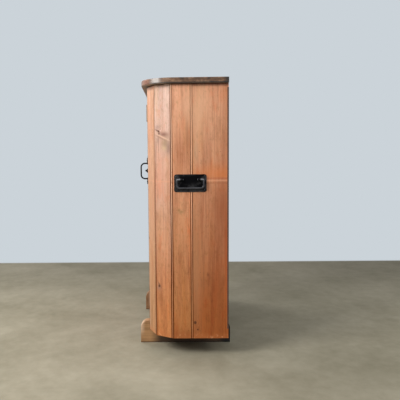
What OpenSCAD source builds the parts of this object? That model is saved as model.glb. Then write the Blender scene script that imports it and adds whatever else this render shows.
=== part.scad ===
// Warming cabinet: a free-standing pine cupboard with coopered front corners,
// lined with tinned sheet, open at the back towards the fire.
// Frame: +Z up, floor at z = 0, front towards -Y, origin at the centre of the footprint.
// Plan points are [u, v]: u runs inboard from the side's outer face, v forward from the back.

/* [Walls] */
// Width over the side boards
body_w = 1150; // [900:10:1400]
// Height of the wall boards
board_h = 1405; // [1100:5:1700]
// Height of the wall boards' lower ends above the floor
board_lift = 100; // [60:5:125]
// Thickness of the wall and door boards
board_t = 19; // [16:1:24]
// Width of the wide board at the rear of each side
rear_board_w = 196; // [150:2:240]
// Width of the board in front of it
side_board_w = 110; // [90:2:140]
// Width of the rear board of the corner
corner_rear_w = 113; // [95:1:130]
// Width of the front board of the corner
corner_front_w = 118; // [100:1:135]
// Turn of the corner's rear board from the side, in degrees
corner_rear_turn = 31; // [25:1:37]
// Turn of the corner's front board from the side, in degrees
corner_front_turn = 69; // [62:1:75]
// Width of the bead along a board's edge
bead_w = 9; // [6:0.5:12]
// Width of the quirk beside the bead
quirk_w = 2; // [1.5:0.5:3]
// Length of the tongues
tongue_l = 7; // [5:0.5:9]
// Thickness of the tongues
tongue_t = 6; // [4:0.5:7]
// Clearance of a tongue or tenon in its groove
joint_fit = 0.3; // [0.1:0.1:0.6]

/* [Top] */
// Thickness of the top boards
top_t = 30; // [22:1:40]
// Overhang of the top past the sides
top_side_over = 20; // [10:1:24]
// Overhang of the top past the front
top_front_over = 30; // [20:1:40]
// Radius of the top's front corners
top_corner_r = 185; // [150:5:200]
// Radius of the top's upper arris
top_edge_r = 7; // [3:1:10]
// Radius of the top's lower arris, kept nearly sharp
top_under_r = 1.5; // [0.5:0.5:5]
// Width of the rear top board
top_rear_w = 230; // [180:5:250]

/* [Frame] */
// Thickness of the rails and stiles
rail_t = 25; // [20:1:30]
// Width of the stile behind the corner board
stile_in = 30; // [24:1:36]
// Lap of the stile behind the door
stile_lap = 18; // [14:1:24]
// Height of the top rail
top_rail_h = 65; // [45:1:90]
// Height of the bottom rail
bottom_rail_h = 62; // [45:1:90]
// Length of the rail tenons
tenon_l = 12; // [8:1:16]
// Thickness of the rear posts, across the cabinet
post_t = 22; // [16:1:30]
// Width of the rear posts, front to back
post_w = 45; // [35:1:60]
// Thickness of the top ribs and the rear batten
rib_t = 22; // [18:1:30]
// Width of the top ribs and the rear batten
rib_w = 55; // [45:1:75]
// Thickness of the floor boards
floor_t = 22; // [18:1:28]
// Width of the rear floor board
floor_rear_w = 210; // [160:5:250]

/* [Runners] */
// Height of the runners
runner_h = 133; // [128:1:160]
// Thickness of the runners
runner_t = 48; // [36:1:60]
// Distance of a runner's outer face from the side
runner_in = 215; // [190:5:300]
// Reach of the runners past the front
runner_front_out = 56; // [45:1:70]
// Reach of the runners past the back
runner_back_out = 31; // [20:1:50]
// Radius of the runners' upper ends
runner_r = 47; // [20:1:60]

/* [Lining and shelves] */
// Thickness of the lining sheets
lining_t = 1; // [0.8:0.1:2]
// Width of the lining's lap on the outside of the rear edge
lining_lap = 7; // [4:1:12]
// Number of shelves
shelf_count = 3; // [3:1:3]
// Thickness of the shelf sheets
shelf_t = 1.5; // [1:0.1:2.5]
// Gap between a shelf and the lining
shelf_gap = 2; // [1:0.5:4]
// Depth of a shelf's folded edge
shelf_lip = 16; // [12:1:24]
// Radius of the wired roll along a shelf's edge
shelf_roll_r = 3; // [2.5:0.5:4]
// Distance of a shelf's front edge from the stiles
shelf_front_in = 12; // [8:1:20]
// Height of the shelf bearers
bearer_h = 25; // [18:1:35]
// Width of the shelf bearers
bearer_w = 38; // [30:1:45]

/* [Doors] */
// Seam between a door and the corner board
door_seam = 3.4; // [3.2:0.1:4.5]
// Gap between the two doors
meeting_gap = 2; // [2:0.5:5]
// Gap above and below the doors
door_end_gap = 4; // [3:0.5:6]
// Boards in each door
door_board_count = 4; // [4:1:4]
// Height of the door ledges
ledge_h = 90; // [70:1:110]
// Thickness of the door ledges
ledge_t = 22; // [18:1:26]
// Gap between the ledges and what lies beside them
ledge_gap = 8; // [4:1:14]
// Width of the strips along the doors' meeting edges
strip_w = 38; // [32:1:44]
// Thickness of the meeting strips
strip_t = 14; // [8:1:15]

/* [Hinges] */
// Length of a hinge
hinge_l = 90; // [60:5:120]
// Radius of the hinge barrel
knuckle_r = 3.6; // [3.3:0.1:4.5]
// Radius of the hinge pin
hinge_pin_r = 1.9; // [1.5:0.1:2.1]
// Distance of the hinge pin in front of the doors' face
hinge_out = 0.6; // [0:0.1:2]
// Thickness of the hinge leaves
leaf_t = 1.5; // [1.2:0.1:1.5]
// Depth of the hinge leaves behind the door's face
leaf_d = 16; // [12:1:18]
// Height of the lower hinge above the door's end, and of the upper one below it
hinge_inset = 144; // [110:2:200]

/* [Door pull] */
// Height of the pull's middle above the floor
pull_z = 1012; // [900:2:1100]
// Height of the grip between its bars' centres
grip_h = 98; // [80:1:130]
// Reach of the grip past the meeting strip
grip_reach = 50; // [36:1:56]
// Radius of the grip's bar
grip_r = 4.6; // [4:0.1:6]
// Radius of the grip's corners
grip_corner_r = 24; // [10:1:30]
// Length of the pull's lugs
lug_l = 36; // [30:1:45]
// Width of the pull's lugs
lug_w = 24; // [20:1:30]
// Thickness of the pull's lugs
lug_t = 7; // [3:0.5:8]

/* [Latch] */
// Distance of the latch knob from the middle of the front
latch_x = 62; // [50:1:90]
// Height of the latch knob
latch_z = 1016; // [950:2:1080]
// Largest radius of the latch knob
knob_r = 17; // [13:0.5:20]
// Length of the latch knob
knob_l = 31; // [24:1:36]
// Radius of the latch spindle
spindle_r = 5; // [4:0.1:6]
// Thickness of the latch tongue
tongue_plate_t = 3.5; // [2.5:0.5:4]
// Width of the latch tongue
tongue_plate_w = 22; // [18:1:28]
// Reach of the latch tongue past the middle of the front
tongue_reach = 32; // [26:1:40]

/* [Bolt] */
// Distance of the bolt from the middle of the front
bolt_x = 40; // [30:1:60]
// Radius of the bolt
bolt_r = 4; // [3:0.1:5]
// Travel of the bolt
bolt_travel = 22; // [16:1:26]
// Length of the bolt's back plate
bolt_plate_h = 86; // [70:1:90]
// Width of the bolt's back plate
bolt_plate_w = 28; // [24:1:36]

/* [Lift handles] */
// Width of the handle plate
plate_w = 176; // [166:2:220]
// Height of the handle plate
plate_h = 96; // [80:2:120]
// Thickness of the handle plate
plate_t = 3; // [2:0.5:4]
// Radius of the handle plate's corners
plate_r = 11; // [4:1:20]
// Distance of the handle's middle from the back
handle_v = 208; // [190:1:215]
// Height of the handle's middle above the floor
handle_z = 969; // [850:1:1050]
// Distance between the bail's two ears
ear_gap = 94; // [80:1:104]
// Radius of the ears
ear_r = 8.5; // [7:0.5:10]
// Height of the bail's pivots above the handle's middle
pivot_up = 20; // [12:1:26]
// Distance of the pivots from the plate
pivot_out = 8.5; // [8:0.5:11]
// Length of the bail's shoulders beside the ears
bail_shoulder = 9; // [1:0.5:10]
// Drop of the bail from its pivots
bail_drop = 47; // [38:1:54]
// Radius of the bail's bar
bail_r = 5; // [4:0.5:6]
// Radius of the bail's pivots
pivot_r = 3.95; // [3:0.05:3.95]
// Radius of the screws' heads
screw_head_r = 4.6; // [4:0.1:6]
// Radius of the screws' shanks
screw_r = 2; // [1.5:0.1:2.5]
// Length of the screws in the wood
screw_l = 13; // [8:1:14]

/* [Hidden] */
$fn = 48;

running_fit = 0.06;   // radial clearance of a pin in its bore
clear = 0.3;          // gap between pieces that move past each other
eps = 1;              // overlap of cutting shapes past the faces they cut

// Plan of a wall, from the back to the door's seam
function run(turn) = [sin(turn), cos(turn)];
side_depth = rear_board_w + side_board_w;
v0 = [0, 0];
v_split = [0, rear_board_w];
v1 = [0, side_depth];
v2 = v1 + corner_rear_w * run(corner_rear_turn);
v3 = v2 + corner_front_w * run(corner_front_turn);
front_v = v3.y;

// Inboard normal of the stretch a-b, and the corner b of the path a-b-c moved inboard by t
function inboard(a, b) = let (d = (b - a) / norm(b - a)) [d.y, -d.x];
function mitre(a, b, c, t) = let (n = inboard(a, b), m = inboard(b, c)) b + t * (n + m) / (1 + n * m);
// A path moved inboard by t, its ends square
function moved(p, t) = let (n = len(p) - 1) [for (i = [0 : n])
    i == 0 ? p[0] + t * inboard(p[0], p[1])
    : i == n ? p[n] + t * inboard(p[n - 1], p[n])
    : mitre(p[i - 1], p[i], p[i + 1], t)];
function reversed(p) = [for (i = [len(p) - 1 : -1 : 0]) p[i]];
function point_at_u(a, b, u) = a + (b - a) * (u - a.x) / (b.x - a.x);
function point_at_v(a, b, v) = a + (b - a) * (v - a.y) / (b.y - a.y);

// Inner corners of the wall boards
i1 = mitre(v_split, v1, v2, board_t);
i2 = mitre(v1, v2, v3, board_t);
i3 = [v3.x, v3.y - board_t / sin(corner_front_turn)];

// Plan of the stile and rail behind the door
stop_v = i3.y;
rail_back_v = stop_v - rail_t;
stile_u0 = v3.x - stile_in;
stile_u1 = v3.x + stile_lap;
stile_corner = point_at_u(i2, i3, stile_u0);

// Heights
board_top = board_lift + board_h;
floor_top = runner_h + floor_t;
ceiling_z = board_top - rib_t - lining_t;
door_z0 = runner_h + door_end_gap;
door_z1 = board_top - door_end_gap;

// Doors: hinge axis, edges and depths
door_u0 = v3.x + door_seam;
door_u1 = body_w / 2 - meeting_gap / 2;
door_board_w = (door_u1 - door_u0) / door_board_count;
axis_u = v3.x + door_seam / 2;
axis_v = front_v + hinge_out;
ledge_u0 = stile_u1 + ledge_gap / 3;
ledge_u1 = door_u1 - ledge_t * 0.65;
ledge_v = front_v - board_t;
door_in_v = ledge_v - ledge_t;
lining_in_v = door_in_v - lining_t;
ledge_zs = [runner_h + bottom_rail_h + ledge_gap, latch_z - ledge_h / 2,
    board_top - top_rail_h - ledge_gap - ledge_h];

// Lining: the faces that its sheet lies on, and its inner faces
lining_path = [[0, lining_lap], v0, [board_t + post_t, 0], [board_t + post_t, post_w],
    [board_t, post_w], i1, i2, stile_corner, [stile_u0, rail_back_v],
    [stile_u1 - lining_t, rail_back_v]];
lining_in = moved(lining_path, lining_t);
shelf_line = moved(lining_path, lining_t + shelf_gap);
shelf_front_v = rail_back_v - shelf_front_in;
shelf_end = shelf_front_v > shelf_line[6].y
    ? point_at_v(shelf_line[6], shelf_line[7], shelf_front_v)
    : point_at_v(shelf_line[5], shelf_line[6], shelf_front_v);
bay_h = (ceiling_z - floor_top) / (shelf_count + 1);
function shelf_z(k) = floor_top + k * bay_h;

// The footprint's middle lies on the Y axis
front_reach = front_v + max(runner_front_out, strip_t + grip_reach);
back_y = (front_reach - runner_back_out) / 2;
front_y = back_y - front_v;
side_x = body_w / 2;

// Colours
pine = [0.76, 0.50, 0.33];
pine_inner = [0.80, 0.66, 0.48];
dark_pine = [0.40, 0.28, 0.19];
runner_pine = [0.55, 0.41, 0.28];
tin = [0.56, 0.57, 0.57];
iron = [0.10, 0.10, 0.11];

// Puts a plan drawn in [u, v] on the right-hand side, or on the left one
module right() { translate([side_x, back_y, 0]) rotate([0, 0, 180]) children(); }
module left() { mirror([1, 0, 0]) right() children(); }
module raised(z, h) { translate([0, 0, z]) linear_extrude(h) children(); }
// Puts x across, y up and z outward on the front, or on the right-hand side
module on_front() { translate([0, front_y, 0]) rotate([90, 0, 0]) children(); }
module on_side() { translate([side_x, back_y - handle_v, handle_z]) rotate([90, 0, 90]) children(); }

// Corners of a strip across the joint o-i: t wide, from `back` behind it to `ahead` in front of it
function strip_points(o, i, t, back, ahead) =
    let (e = (i - o) / norm(i - o), n = [-e.y, e.x], m = (o + i) / 2)
    [m + e * t / 2 + n * ahead, m + e * t / 2 - n * back,
        m - e * t / 2 - n * back, m - e * t / 2 + n * ahead];

// Plan of a matched board from joint a-ai to joint b-bi, all [u, v]:
// a bead and a tongue on the edge at a, a groove in the edge at b
module matched_board(a, b, bi, ai, beaded = true, grooved = true) {
    d = (b - a) / norm(b - a);
    r = bead_w / 2;
    difference() {
        polygon(concat([a, b, bi, ai], beaded ? strip_points(a, ai, tongue_t, tongue_l, 0) : []));
        if (beaded)
            translate(a) rotate(atan2(d.y, d.x)) difference() {
                translate([-eps, -r]) square([bead_w + quirk_w + eps, r + eps]);
                translate([r + joint_fit, -r]) circle(r);
            }
        if (grooved)
            polygon(strip_points(b, bi, tongue_t + 2 * joint_fit, tongue_l + joint_fit, eps));
    }
}

module wall_board(a, b, bi, ai, beaded = true, grooved = true) {
    raised(board_lift, board_h) matched_board(a, b, bi, ai, beaded, grooved);
}

// Screw places on a handle plate, from its middle
module at_plate_screws() {
    for (sx = [-1, 1], sy = [-1, 1])
        translate([sx * (plate_w / 2 - plate_r), sy * (plate_h / 2 - plate_r), 0]) children();
}
module pilot_holes() {
    on_side() at_plate_screws() translate([0, 0, -screw_l - eps])
        cylinder(r = screw_r + joint_fit / 3, h = screw_l + 2 * eps);
}

module rear_board() {
    difference() {
        right() wall_board(v0, v_split, [board_t, rear_board_w], [board_t, 0], false, true);
        pilot_holes();
    }
}
module middle_board() {
    difference() {
        right() wall_board(v_split, v1, i1, [board_t, rear_board_w]);
        pilot_holes();
    }
}
module corner_rear_board() { right() wall_board(v1, v2, i2, i1); }
// Hinge heights, and the hollows for the barrels in the edges beside them
hinge_zs = [door_z0 + hinge_inset - hinge_l / 2, door_z1 - hinge_inset - hinge_l / 2];
hinge_room = knuckle_r + 2;
module barrel_hollows() {
    for (z = hinge_zs)
        right() translate([axis_u, axis_v, z - hinge_room])
            cylinder(r = knuckle_r + 0.4, h = hinge_l + 2 * hinge_room);
}
module corner_front_board() {
    difference() {
        right() wall_board(v2, v3, i3, i2, true, false);
        barrel_hollows();
    }
}

module right_rear_board() { color(pine) rear_board(); }
module left_rear_board() { color(pine) mirror([1, 0, 0]) rear_board(); }
module right_middle_board() { color(pine) middle_board(); }
module left_middle_board() { color(pine) mirror([1, 0, 0]) middle_board(); }
module right_corner_rear_board() { color(pine) corner_rear_board(); }
module left_corner_rear_board() { color(pine) mirror([1, 0, 0]) corner_rear_board(); }
module right_corner_front_board() { color(pine) corner_front_board(); }
module left_corner_front_board() { color(pine) mirror([1, 0, 0]) corner_front_board(); }

// Top: two matched boards with a rounded upper arris and round front corners
top_x = side_x + top_side_over;
top_front_v = front_v + top_front_over;
top_center_v = top_front_v - top_corner_r;
top_center_x = top_x - top_corner_r;
// Half of a board's section, from the middle to its edge at x = w, rounded more above than below
module rounded_edge(w) {
    square([w - top_edge_r, top_t]);
    translate([0, top_under_r]) square([w, top_t - top_edge_r - top_under_r]);
    square([w - top_under_r, top_under_r]);
    translate([w - top_edge_r, top_t - top_edge_r]) circle(top_edge_r);
    translate([w - top_under_r, top_under_r]) circle(top_under_r);
}
module top_band(from_v, to_v) {
    translate([0, back_y - from_v, board_top]) rotate([90, 0, 0]) linear_extrude(to_v - from_v) {
        rounded_edge(top_x);
        mirror([1, 0]) rounded_edge(top_x);
    }
}
module top_corner() {
    translate([top_center_x, back_y - top_center_v, board_top])
        rotate([0, 0, -90]) rotate_extrude(angle = 90, $fn = 96) rounded_edge(top_corner_r);
}
module top_tongue(fit) {
    translate([-top_center_x, back_y - top_rear_w, board_top + top_t / 2 - tongue_t / 2 - fit])
        cube([2 * top_center_x, tongue_l + fit, tongue_t + 2 * fit]);
}
module top_front_board() {
    color(dark_pine) union() {
        top_band(top_rear_w, top_center_v);
        top_corner();
        mirror([1, 0, 0]) top_corner();
        translate([-top_center_x, back_y - top_center_v, board_top]) rotate([90, 0, 90])
            linear_extrude(2 * top_center_x) mirror([1, 0]) rounded_edge(top_corner_r);
        top_tongue(0);
    }
}
module top_rear_board() {
    color(dark_pine) difference() {
        top_band(0, top_rear_w);
        translate([0, -eps, 0]) top_tongue(joint_fit);
        top_tongue(joint_fit);
    }
}

// Front stiles, standing on the floor's level behind the corner and the door's edge
module tenon(top, fit) {
    z = top ? board_top - top_rail_h : runner_h;
    h = top ? top_rail_h : bottom_rail_h;
    translate([stile_u1 - tenon_l - fit, rail_back_v + rail_t / 3 - fit, z + h / 5 - fit])
        cube([tenon_l + fit + eps, rail_t / 3 + 2 * fit, h * 3 / 5 + 2 * fit]);
}
module front_stile() {
    right() difference() {
        raised(runner_h, board_top - runner_h) polygon([stile_corner, i3, [stile_u1, stop_v],
            [stile_u1, rail_back_v], [stile_u0, rail_back_v]]);
        tenon(true, joint_fit);
        tenon(false, joint_fit);
    }
}
module right_front_stile() { color(pine_inner) front_stile(); }
module left_front_stile() { color(pine_inner) mirror([1, 0, 0]) front_stile(); }

module rail(z, h, top) {
    translate([-(side_x - stile_u1), back_y - stop_v, z]) cube([2 * (side_x - stile_u1), rail_t, h]);
    right() tenon(top, 0);
    left() tenon(top, 0);
}
module front_top_rail() { color(pine_inner) rail(board_top - top_rail_h, top_rail_h, true); }
module front_bottom_rail() { color(pine_inner) rail(runner_h, bottom_rail_h, false); }

module rear_post() {
    right() translate([board_t, 0, floor_top]) cube([post_t, post_w, ceiling_z + lining_t - floor_top]);
}
module right_rear_post() { color(pine_inner) rear_post(); }
module left_rear_post() { color(pine_inner) mirror([1, 0, 0]) rear_post(); }

// A sawn rib that follows the wall: the outline `pts` less the round space inside it
module sawn_rib(pts, in_u, in_v) {
    r = (in_v - side_depth / 2) * 0.8;
    difference() {
        polygon(pts);
        translate([in_u, -eps]) square([side_x, in_v - r + eps]);
        translate([in_u + r, -eps]) square([side_x, in_v + eps]);
        translate([in_u + r, in_v - r]) circle(r, $fn = 96);
    }
}
module top_rib() {
    right() raised(board_top - rib_t, rib_t) sawn_rib([[board_t, 0], i1, i2, stile_corner,
        [stile_u0, rail_back_v], [stile_u1, rail_back_v], [stile_u1, rail_back_v - rib_w],
        [stile_u1, 0]], board_t + rib_w, rail_back_v - rib_w);
}
module right_top_rib() { color(pine_inner) top_rib(); }
module left_top_rib() { color(pine_inner) mirror([1, 0, 0]) top_rib(); }
module rear_top_batten() {
    color(pine_inner) translate([-(side_x - board_t - rib_w), back_y - rib_w, board_top - rib_t])
        cube([2 * (side_x - board_t - rib_w), rib_w, rib_t]);
}

function on_plan(p) = [side_x - p.x, back_y - p.y];
function both_sides(p) = let (q = [for (a = p) on_plan(a)]) concat(q, [for (a = reversed(q)) [-a.x, a.y]]);

// Floor: two matched boards on the runners, inside the walls
module floor_tongue(fit, past) {
    z = runner_h + floor_t / 2 - tongue_t / 2;
    translate([-(side_x - board_t) - past, back_y - floor_rear_w - past, z - fit])
        cube([2 * (side_x - board_t + past), tongue_l + fit + past, tongue_t + 2 * fit]);
}
module floor_boards() {
    color(pine_inner) difference() {
        translate([-(side_x - board_t), back_y - floor_rear_w, runner_h])
            cube([2 * (side_x - board_t), floor_rear_w, floor_t]);
        translate([0, joint_fit, 0]) floor_tongue(joint_fit, eps);
        translate([-side_x, back_y - floor_rear_w - eps, runner_h - eps])
            cube([2 * side_x, joint_fit + eps, floor_t + 2 * eps]);
    }
    color(pine_inner) union() {
        raised(runner_h, floor_t) polygon(both_sides([[board_t, floor_rear_w], i1, i2, stile_corner,
            [stile_u0, rail_back_v]]));
        floor_tongue(0, 0);
    }
}

// Runners with both upper ends rounded
module runner() {
    l = front_v + runner_front_out + runner_back_out;
    translate([side_x - runner_in - runner_t, back_y + runner_back_out - l, 0])
        rotate([90, 0, 90]) linear_extrude(runner_t) {
            square([l, runner_h - runner_r]);
            translate([runner_r, 0]) square([l - 2 * runner_r, runner_h]);
            for (y = [runner_r, l - runner_r])
                translate([y, runner_h - runner_r]) circle(runner_r, $fn = 96);
        }
}
module right_runner() { color(runner_pine) runner(); }
module left_runner() { color(runner_pine) mirror([1, 0, 0]) runner(); }

// Tinned lining, folded round the rear edge of the side
module lining() {
    right() raised(floor_top, ceiling_z - floor_top) polygon(concat(lining_path, reversed(lining_in)));
}
module right_lining() { color(tin) lining(); }
module left_lining() { color(tin) mirror([1, 0, 0]) lining(); }
module ceiling_lining() {
    color(tin) raised(ceiling_z, lining_t) polygon(both_sides([[board_t + post_t, 0],
        [board_t + post_t, post_w], [board_t, post_w], i1, i2, stile_corner, [stile_u0, rail_back_v]]));
}

// Shelf bearers, sawn to the corner, three on each side
module bearers() {
    for (k = [1 : shelf_count])
        right() raised(shelf_z(k) - bearer_h, bearer_h) sawn_rib([lining_in[4], lining_in[5], lining_in[6],
            lining_in[7], lining_in[8], [stile_u1, lining_in[8].y], [stile_u1, lining_in[8].y - bearer_w],
            [stile_u1, lining_in[4].y]], board_t + lining_t + bearer_w, lining_in[8].y - bearer_w);
}
module right_shelf_bearers() { color(pine_inner) bearers(); }
module left_shelf_bearers() { color(pine_inner) mirror([1, 0, 0]) bearers(); }

// Tinned shelf with folded and wired front and rear edges
module shelf(k) {
    rear_x = side_x - shelf_line[3].x;
    front_x = side_x - stile_u1 - shelf_gap;
    rear_v = shelf_roll_r;
    z = shelf_z(k);
    outline = concat([[shelf_line[3].x, rear_v], shelf_line[3], shelf_line[4], shelf_line[5]],
        shelf_front_v > shelf_line[6].y ? [shelf_line[6]] : [], [shelf_end]);
    color(tin) union() {
        raised(z, shelf_t) polygon(both_sides(outline));
        for (edge = [[rear_v, rear_x], [shelf_front_v - shelf_t, front_x]]) {
            translate([-edge[1], back_y - edge[0] - shelf_t, z - shelf_lip])
                cube([2 * edge[1], shelf_t, shelf_lip + shelf_t / 2]);
            translate([-edge[1], back_y - edge[0] - shelf_t / 2, z - shelf_lip])
                rotate([0, 90, 0]) cylinder(r = shelf_roll_r, h = 2 * edge[1]);
        }
    }
}
module lower_shelf() { shelf(1); }
module middle_shelf() { shelf(2); }
module upper_shelf() { shelf(3); }

// Lift handles: a plate with two ears, and a bail that hangs in them
module plate() {
    on_side() difference() {
        union() {
            linear_extrude(plate_t) {
                square([plate_w - 2 * plate_r, plate_h], center = true);
                square([plate_w, plate_h - 2 * plate_r], center = true);
                at_plate_screws() circle(plate_r);
            }
            for (s = [-1, 1]) translate([s * ear_gap / 2, pivot_up, 0]) {
                cylinder(r = ear_r, h = plate_t + pivot_out);
                translate([0, 0, plate_t + pivot_out]) sphere(ear_r);
                cylinder(r = ear_r + 2.5, h = plate_t + 1.5);
            }
        }
        translate([0, 0, -eps - ear_r]) cube([plate_w, plate_h, 2 * ear_r], center = true);
        at_plate_screws() translate([0, 0, -eps]) cylinder(r = screw_r + joint_fit, h = plate_t + 2 * eps);
        translate([-plate_w / 2, pivot_up, plate_t + pivot_out]) rotate([0, 90, 0])
            cylinder(r = pivot_r + running_fit, h = plate_w);
    }
}
module right_handle_plate() { color(iron) plate(); }
module left_handle_plate() { color(iron) mirror([1, 0, 0]) plate(); }

// A quarter bend of round bar in the xy plane, turning from +x to +y round its centre
module bend(r, bar) { rotate_extrude(angle = 90, $fn = 64) translate([r, 0]) circle(bar); }
module bar_y(bar, l) { rotate([-90, 0, 0]) cylinder(r = bar, h = l); }
module bar_x(bar, l) { rotate([0, 90, 0]) cylinder(r = bar, h = l); }

bail_upper_r = 8;     // radius of the bail's upper bends
bail_lower_r = 17;    // radius of the bail's lower bends
module half_bail() {
    pin_in = ear_gap / 2 - ear_r;
    shoulder = ear_gap / 2 + ear_r + clear;
    half = shoulder + bail_shoulder + bail_upper_r;
    translate([pin_in, 0, 0]) bar_x(pivot_r, shoulder - pin_in + eps);
    translate([shoulder, 0, 0]) bar_x(bail_r, bail_shoulder);
    translate([half - bail_upper_r, -bail_upper_r, 0]) bend(bail_upper_r, bail_r);
    translate([half, -bail_drop + bail_lower_r, 0]) bar_y(bail_r, bail_drop - bail_lower_r - bail_upper_r);
    translate([half - bail_lower_r, -bail_drop + bail_lower_r, 0])
        rotate([0, 0, -90]) bend(bail_lower_r, bail_r);
    translate([0, -bail_drop, 0]) bar_x(bail_r, half - bail_lower_r);
}
module bail() {
    on_side() translate([0, pivot_up, plate_t + pivot_out]) {
        half_bail();
        mirror([1, 0, 0]) half_bail();
    }
}
module right_handle_bail() { color(iron) bail(); }
module left_handle_bail() { color(iron) mirror([1, 0, 0]) bail(); }

// A round-headed screw, its head's seat at z = 0
module screw(l) {
    intersection() {
        translate([0, 0, -screw_head_r * 0.6]) sphere(screw_head_r * 1.17);
        cylinder(r = screw_head_r, h = screw_head_r);
    }
    translate([0, 0, -l]) cylinder(r = screw_r, h = l + 0.1);
}
module side_screws() { on_side() translate([0, 0, plate_t]) at_plate_screws() screw(plate_t + screw_l); }
module handle_screws() {
    color(iron) side_screws();
    color(iron) mirror([1, 0, 0]) side_screws();
}

// Butt hinges with five knuckles, their barrels half sunk in the joint
knuckle_l = hinge_l / 5;
module leaf(own, others, u_from) {
    difference() {
        union() {
            difference() {
                translate([u_from, front_v - leaf_d, 0]) cube([leaf_t, leaf_d, hinge_l]);
                for (k = others)
                    translate([axis_u, axis_v, k * knuckle_l - (k == 0 ? eps : clear / 2)])
                        cylinder(r = knuckle_r + clear, h = knuckle_l + (k == 0 || k == 4 ? eps : 0) + clear);
            }
            for (k = own) translate([axis_u, axis_v, k * knuckle_l + (k == 0 ? 0 : clear / 2)])
                cylinder(r = knuckle_r, h = knuckle_l - (k == 0 || k == 4 ? clear / 2 : clear));
        }
        translate([axis_u, axis_v, -eps]) cylinder(r = hinge_pin_r + running_fit, h = hinge_l + 2 * eps);
    }
}
module frame_leaves() { for (z = hinge_zs) right() translate([0, 0, z]) leaf([0, 2, 4], [1, 3], v3.x); }
module door_leaves() { for (z = hinge_zs) right() translate([0, 0, z]) leaf([1, 3], [0, 2, 4], door_u0 - leaf_t); }
module hinge_frame_leaves() {
    color(iron) frame_leaves();
    color(iron) mirror([1, 0, 0]) frame_leaves();
}
module right_hinge_door_leaves() { color(iron) door_leaves(); }
module left_hinge_door_leaves() { color(iron) mirror([1, 0, 0]) door_leaves(); }
module pins() {
    for (z = hinge_zs) right() translate([axis_u, axis_v, z]) {
        cylinder(r = hinge_pin_r, h = hinge_l);
        for (e = [0, 1]) translate([0, 0, e * hinge_l]) mirror([0, 0, 1 - e]) {
            cylinder(r = knuckle_r * 0.9, h = 1.2);
            translate([0, 0, 1.2]) intersection() {
                sphere(knuckle_r * 0.75);
                cylinder(r = knuckle_r, h = knuckle_r);
            }
        }
    }
}
module hinge_pins() {
    color(iron) pins();
    color(iron) mirror([1, 0, 0]) pins();
}

// Doors: matched boards on three ledges, with a tinned sheet on the ledges
pull_x = meeting_gap / 2 + strip_w / 2;
module spindle_hole() {
    on_front() translate([latch_x, latch_z, -board_t - ledge_t - lining_t - eps])
        cylinder(r = spindle_r + running_fit, h = board_t + ledge_t + lining_t + 2 * eps);
}
module pull_hole() {
    for (s = [-1, 1])
        on_front() translate([pull_x, pull_z + s * (grip_h / 2 + lug_l * 0.55), -screw_l - eps])
            cylinder(r = screw_r + joint_fit / 3, h = screw_l + strip_t + 2 * eps);
}
module door_board(k) {
    a = [door_u0 + (k - 1) * door_board_w, front_v];
    b = [a.x + door_board_w, front_v];
    right() raised(door_z0, door_z1 - door_z0)
        matched_board(a, b, b - [0, board_t], a - [0, board_t], k > 1, k < door_board_count);
}
module hinge_board() {
    difference() {
        door_board(1);
        barrel_hollows();
    }
}
module right_door_board_1() { color(pine) hinge_board(); }
module right_door_board_2() { color(pine) door_board(2); }
module right_door_board_3() { color(pine) door_board(3); }
module right_door_board_4() {
    color(pine) difference() {
        door_board(4);
        spindle_hole();
        pull_hole();
    }
}
module left_door_board_1() { color(pine) mirror([1, 0, 0]) hinge_board(); }
module left_door_board_2() { color(pine) mirror([1, 0, 0]) door_board(2); }
module left_door_board_3() { color(pine) mirror([1, 0, 0]) door_board(3); }
module left_door_board_4() { color(pine) mirror([1, 0, 0]) door_board(4); }

ledge_bevel = 4;      // bevel along the ledges' inner edges
module ledges() {
    for (z = ledge_zs)
        right() translate([ledge_u1, 0, z]) rotate([90, 0, -90]) linear_extrude(ledge_u1 - ledge_u0)
            polygon([[-ledge_v, 0], [-ledge_v, ledge_h], [-door_in_v - ledge_bevel, ledge_h],
                [-door_in_v, ledge_h - ledge_bevel], [-door_in_v, ledge_bevel],
                [-door_in_v - ledge_bevel, 0]]);
}
module right_door_ledges() {
    color(pine_inner) difference() {
        ledges();
        spindle_hole();
    }
}
module left_door_ledges() { color(pine_inner) mirror([1, 0, 0]) ledges(); }
module door_sheet() {
    z0 = ledge_zs[0] + ledge_bevel;
    right() translate([ledge_u0, lining_in_v, z0])
        cube([ledge_u1 - ledge_u0, lining_t, ledge_zs[2] + ledge_h - ledge_bevel - z0]);
}
module right_door_lining() {
    color(tin) difference() {
        door_sheet();
        spindle_hole();
    }
}
module left_door_lining() { color(tin) mirror([1, 0, 0]) door_sheet(); }

// Strips along the doors' meeting edges
strip_edge_r = 4;     // radius of the strips' front arrises
module meeting_strip() {
    translate([meeting_gap / 2, front_y, door_z0]) linear_extrude(door_z1 - door_z0) {
        translate([0, -strip_t + strip_edge_r]) square([strip_w, strip_t - strip_edge_r]);
        translate([strip_edge_r, -strip_t]) square([strip_w - 2 * strip_edge_r, strip_t]);
        for (x = [strip_edge_r, strip_w - strip_edge_r])
            translate([x, -strip_t + strip_edge_r]) circle(strip_edge_r);
    }
}
module right_meeting_strip() {
    color(pine) difference() {
        meeting_strip();
        pull_hole();
    }
}
module left_meeting_strip() { color(pine) mirror([1, 0, 0]) meeting_strip(); }

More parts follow.
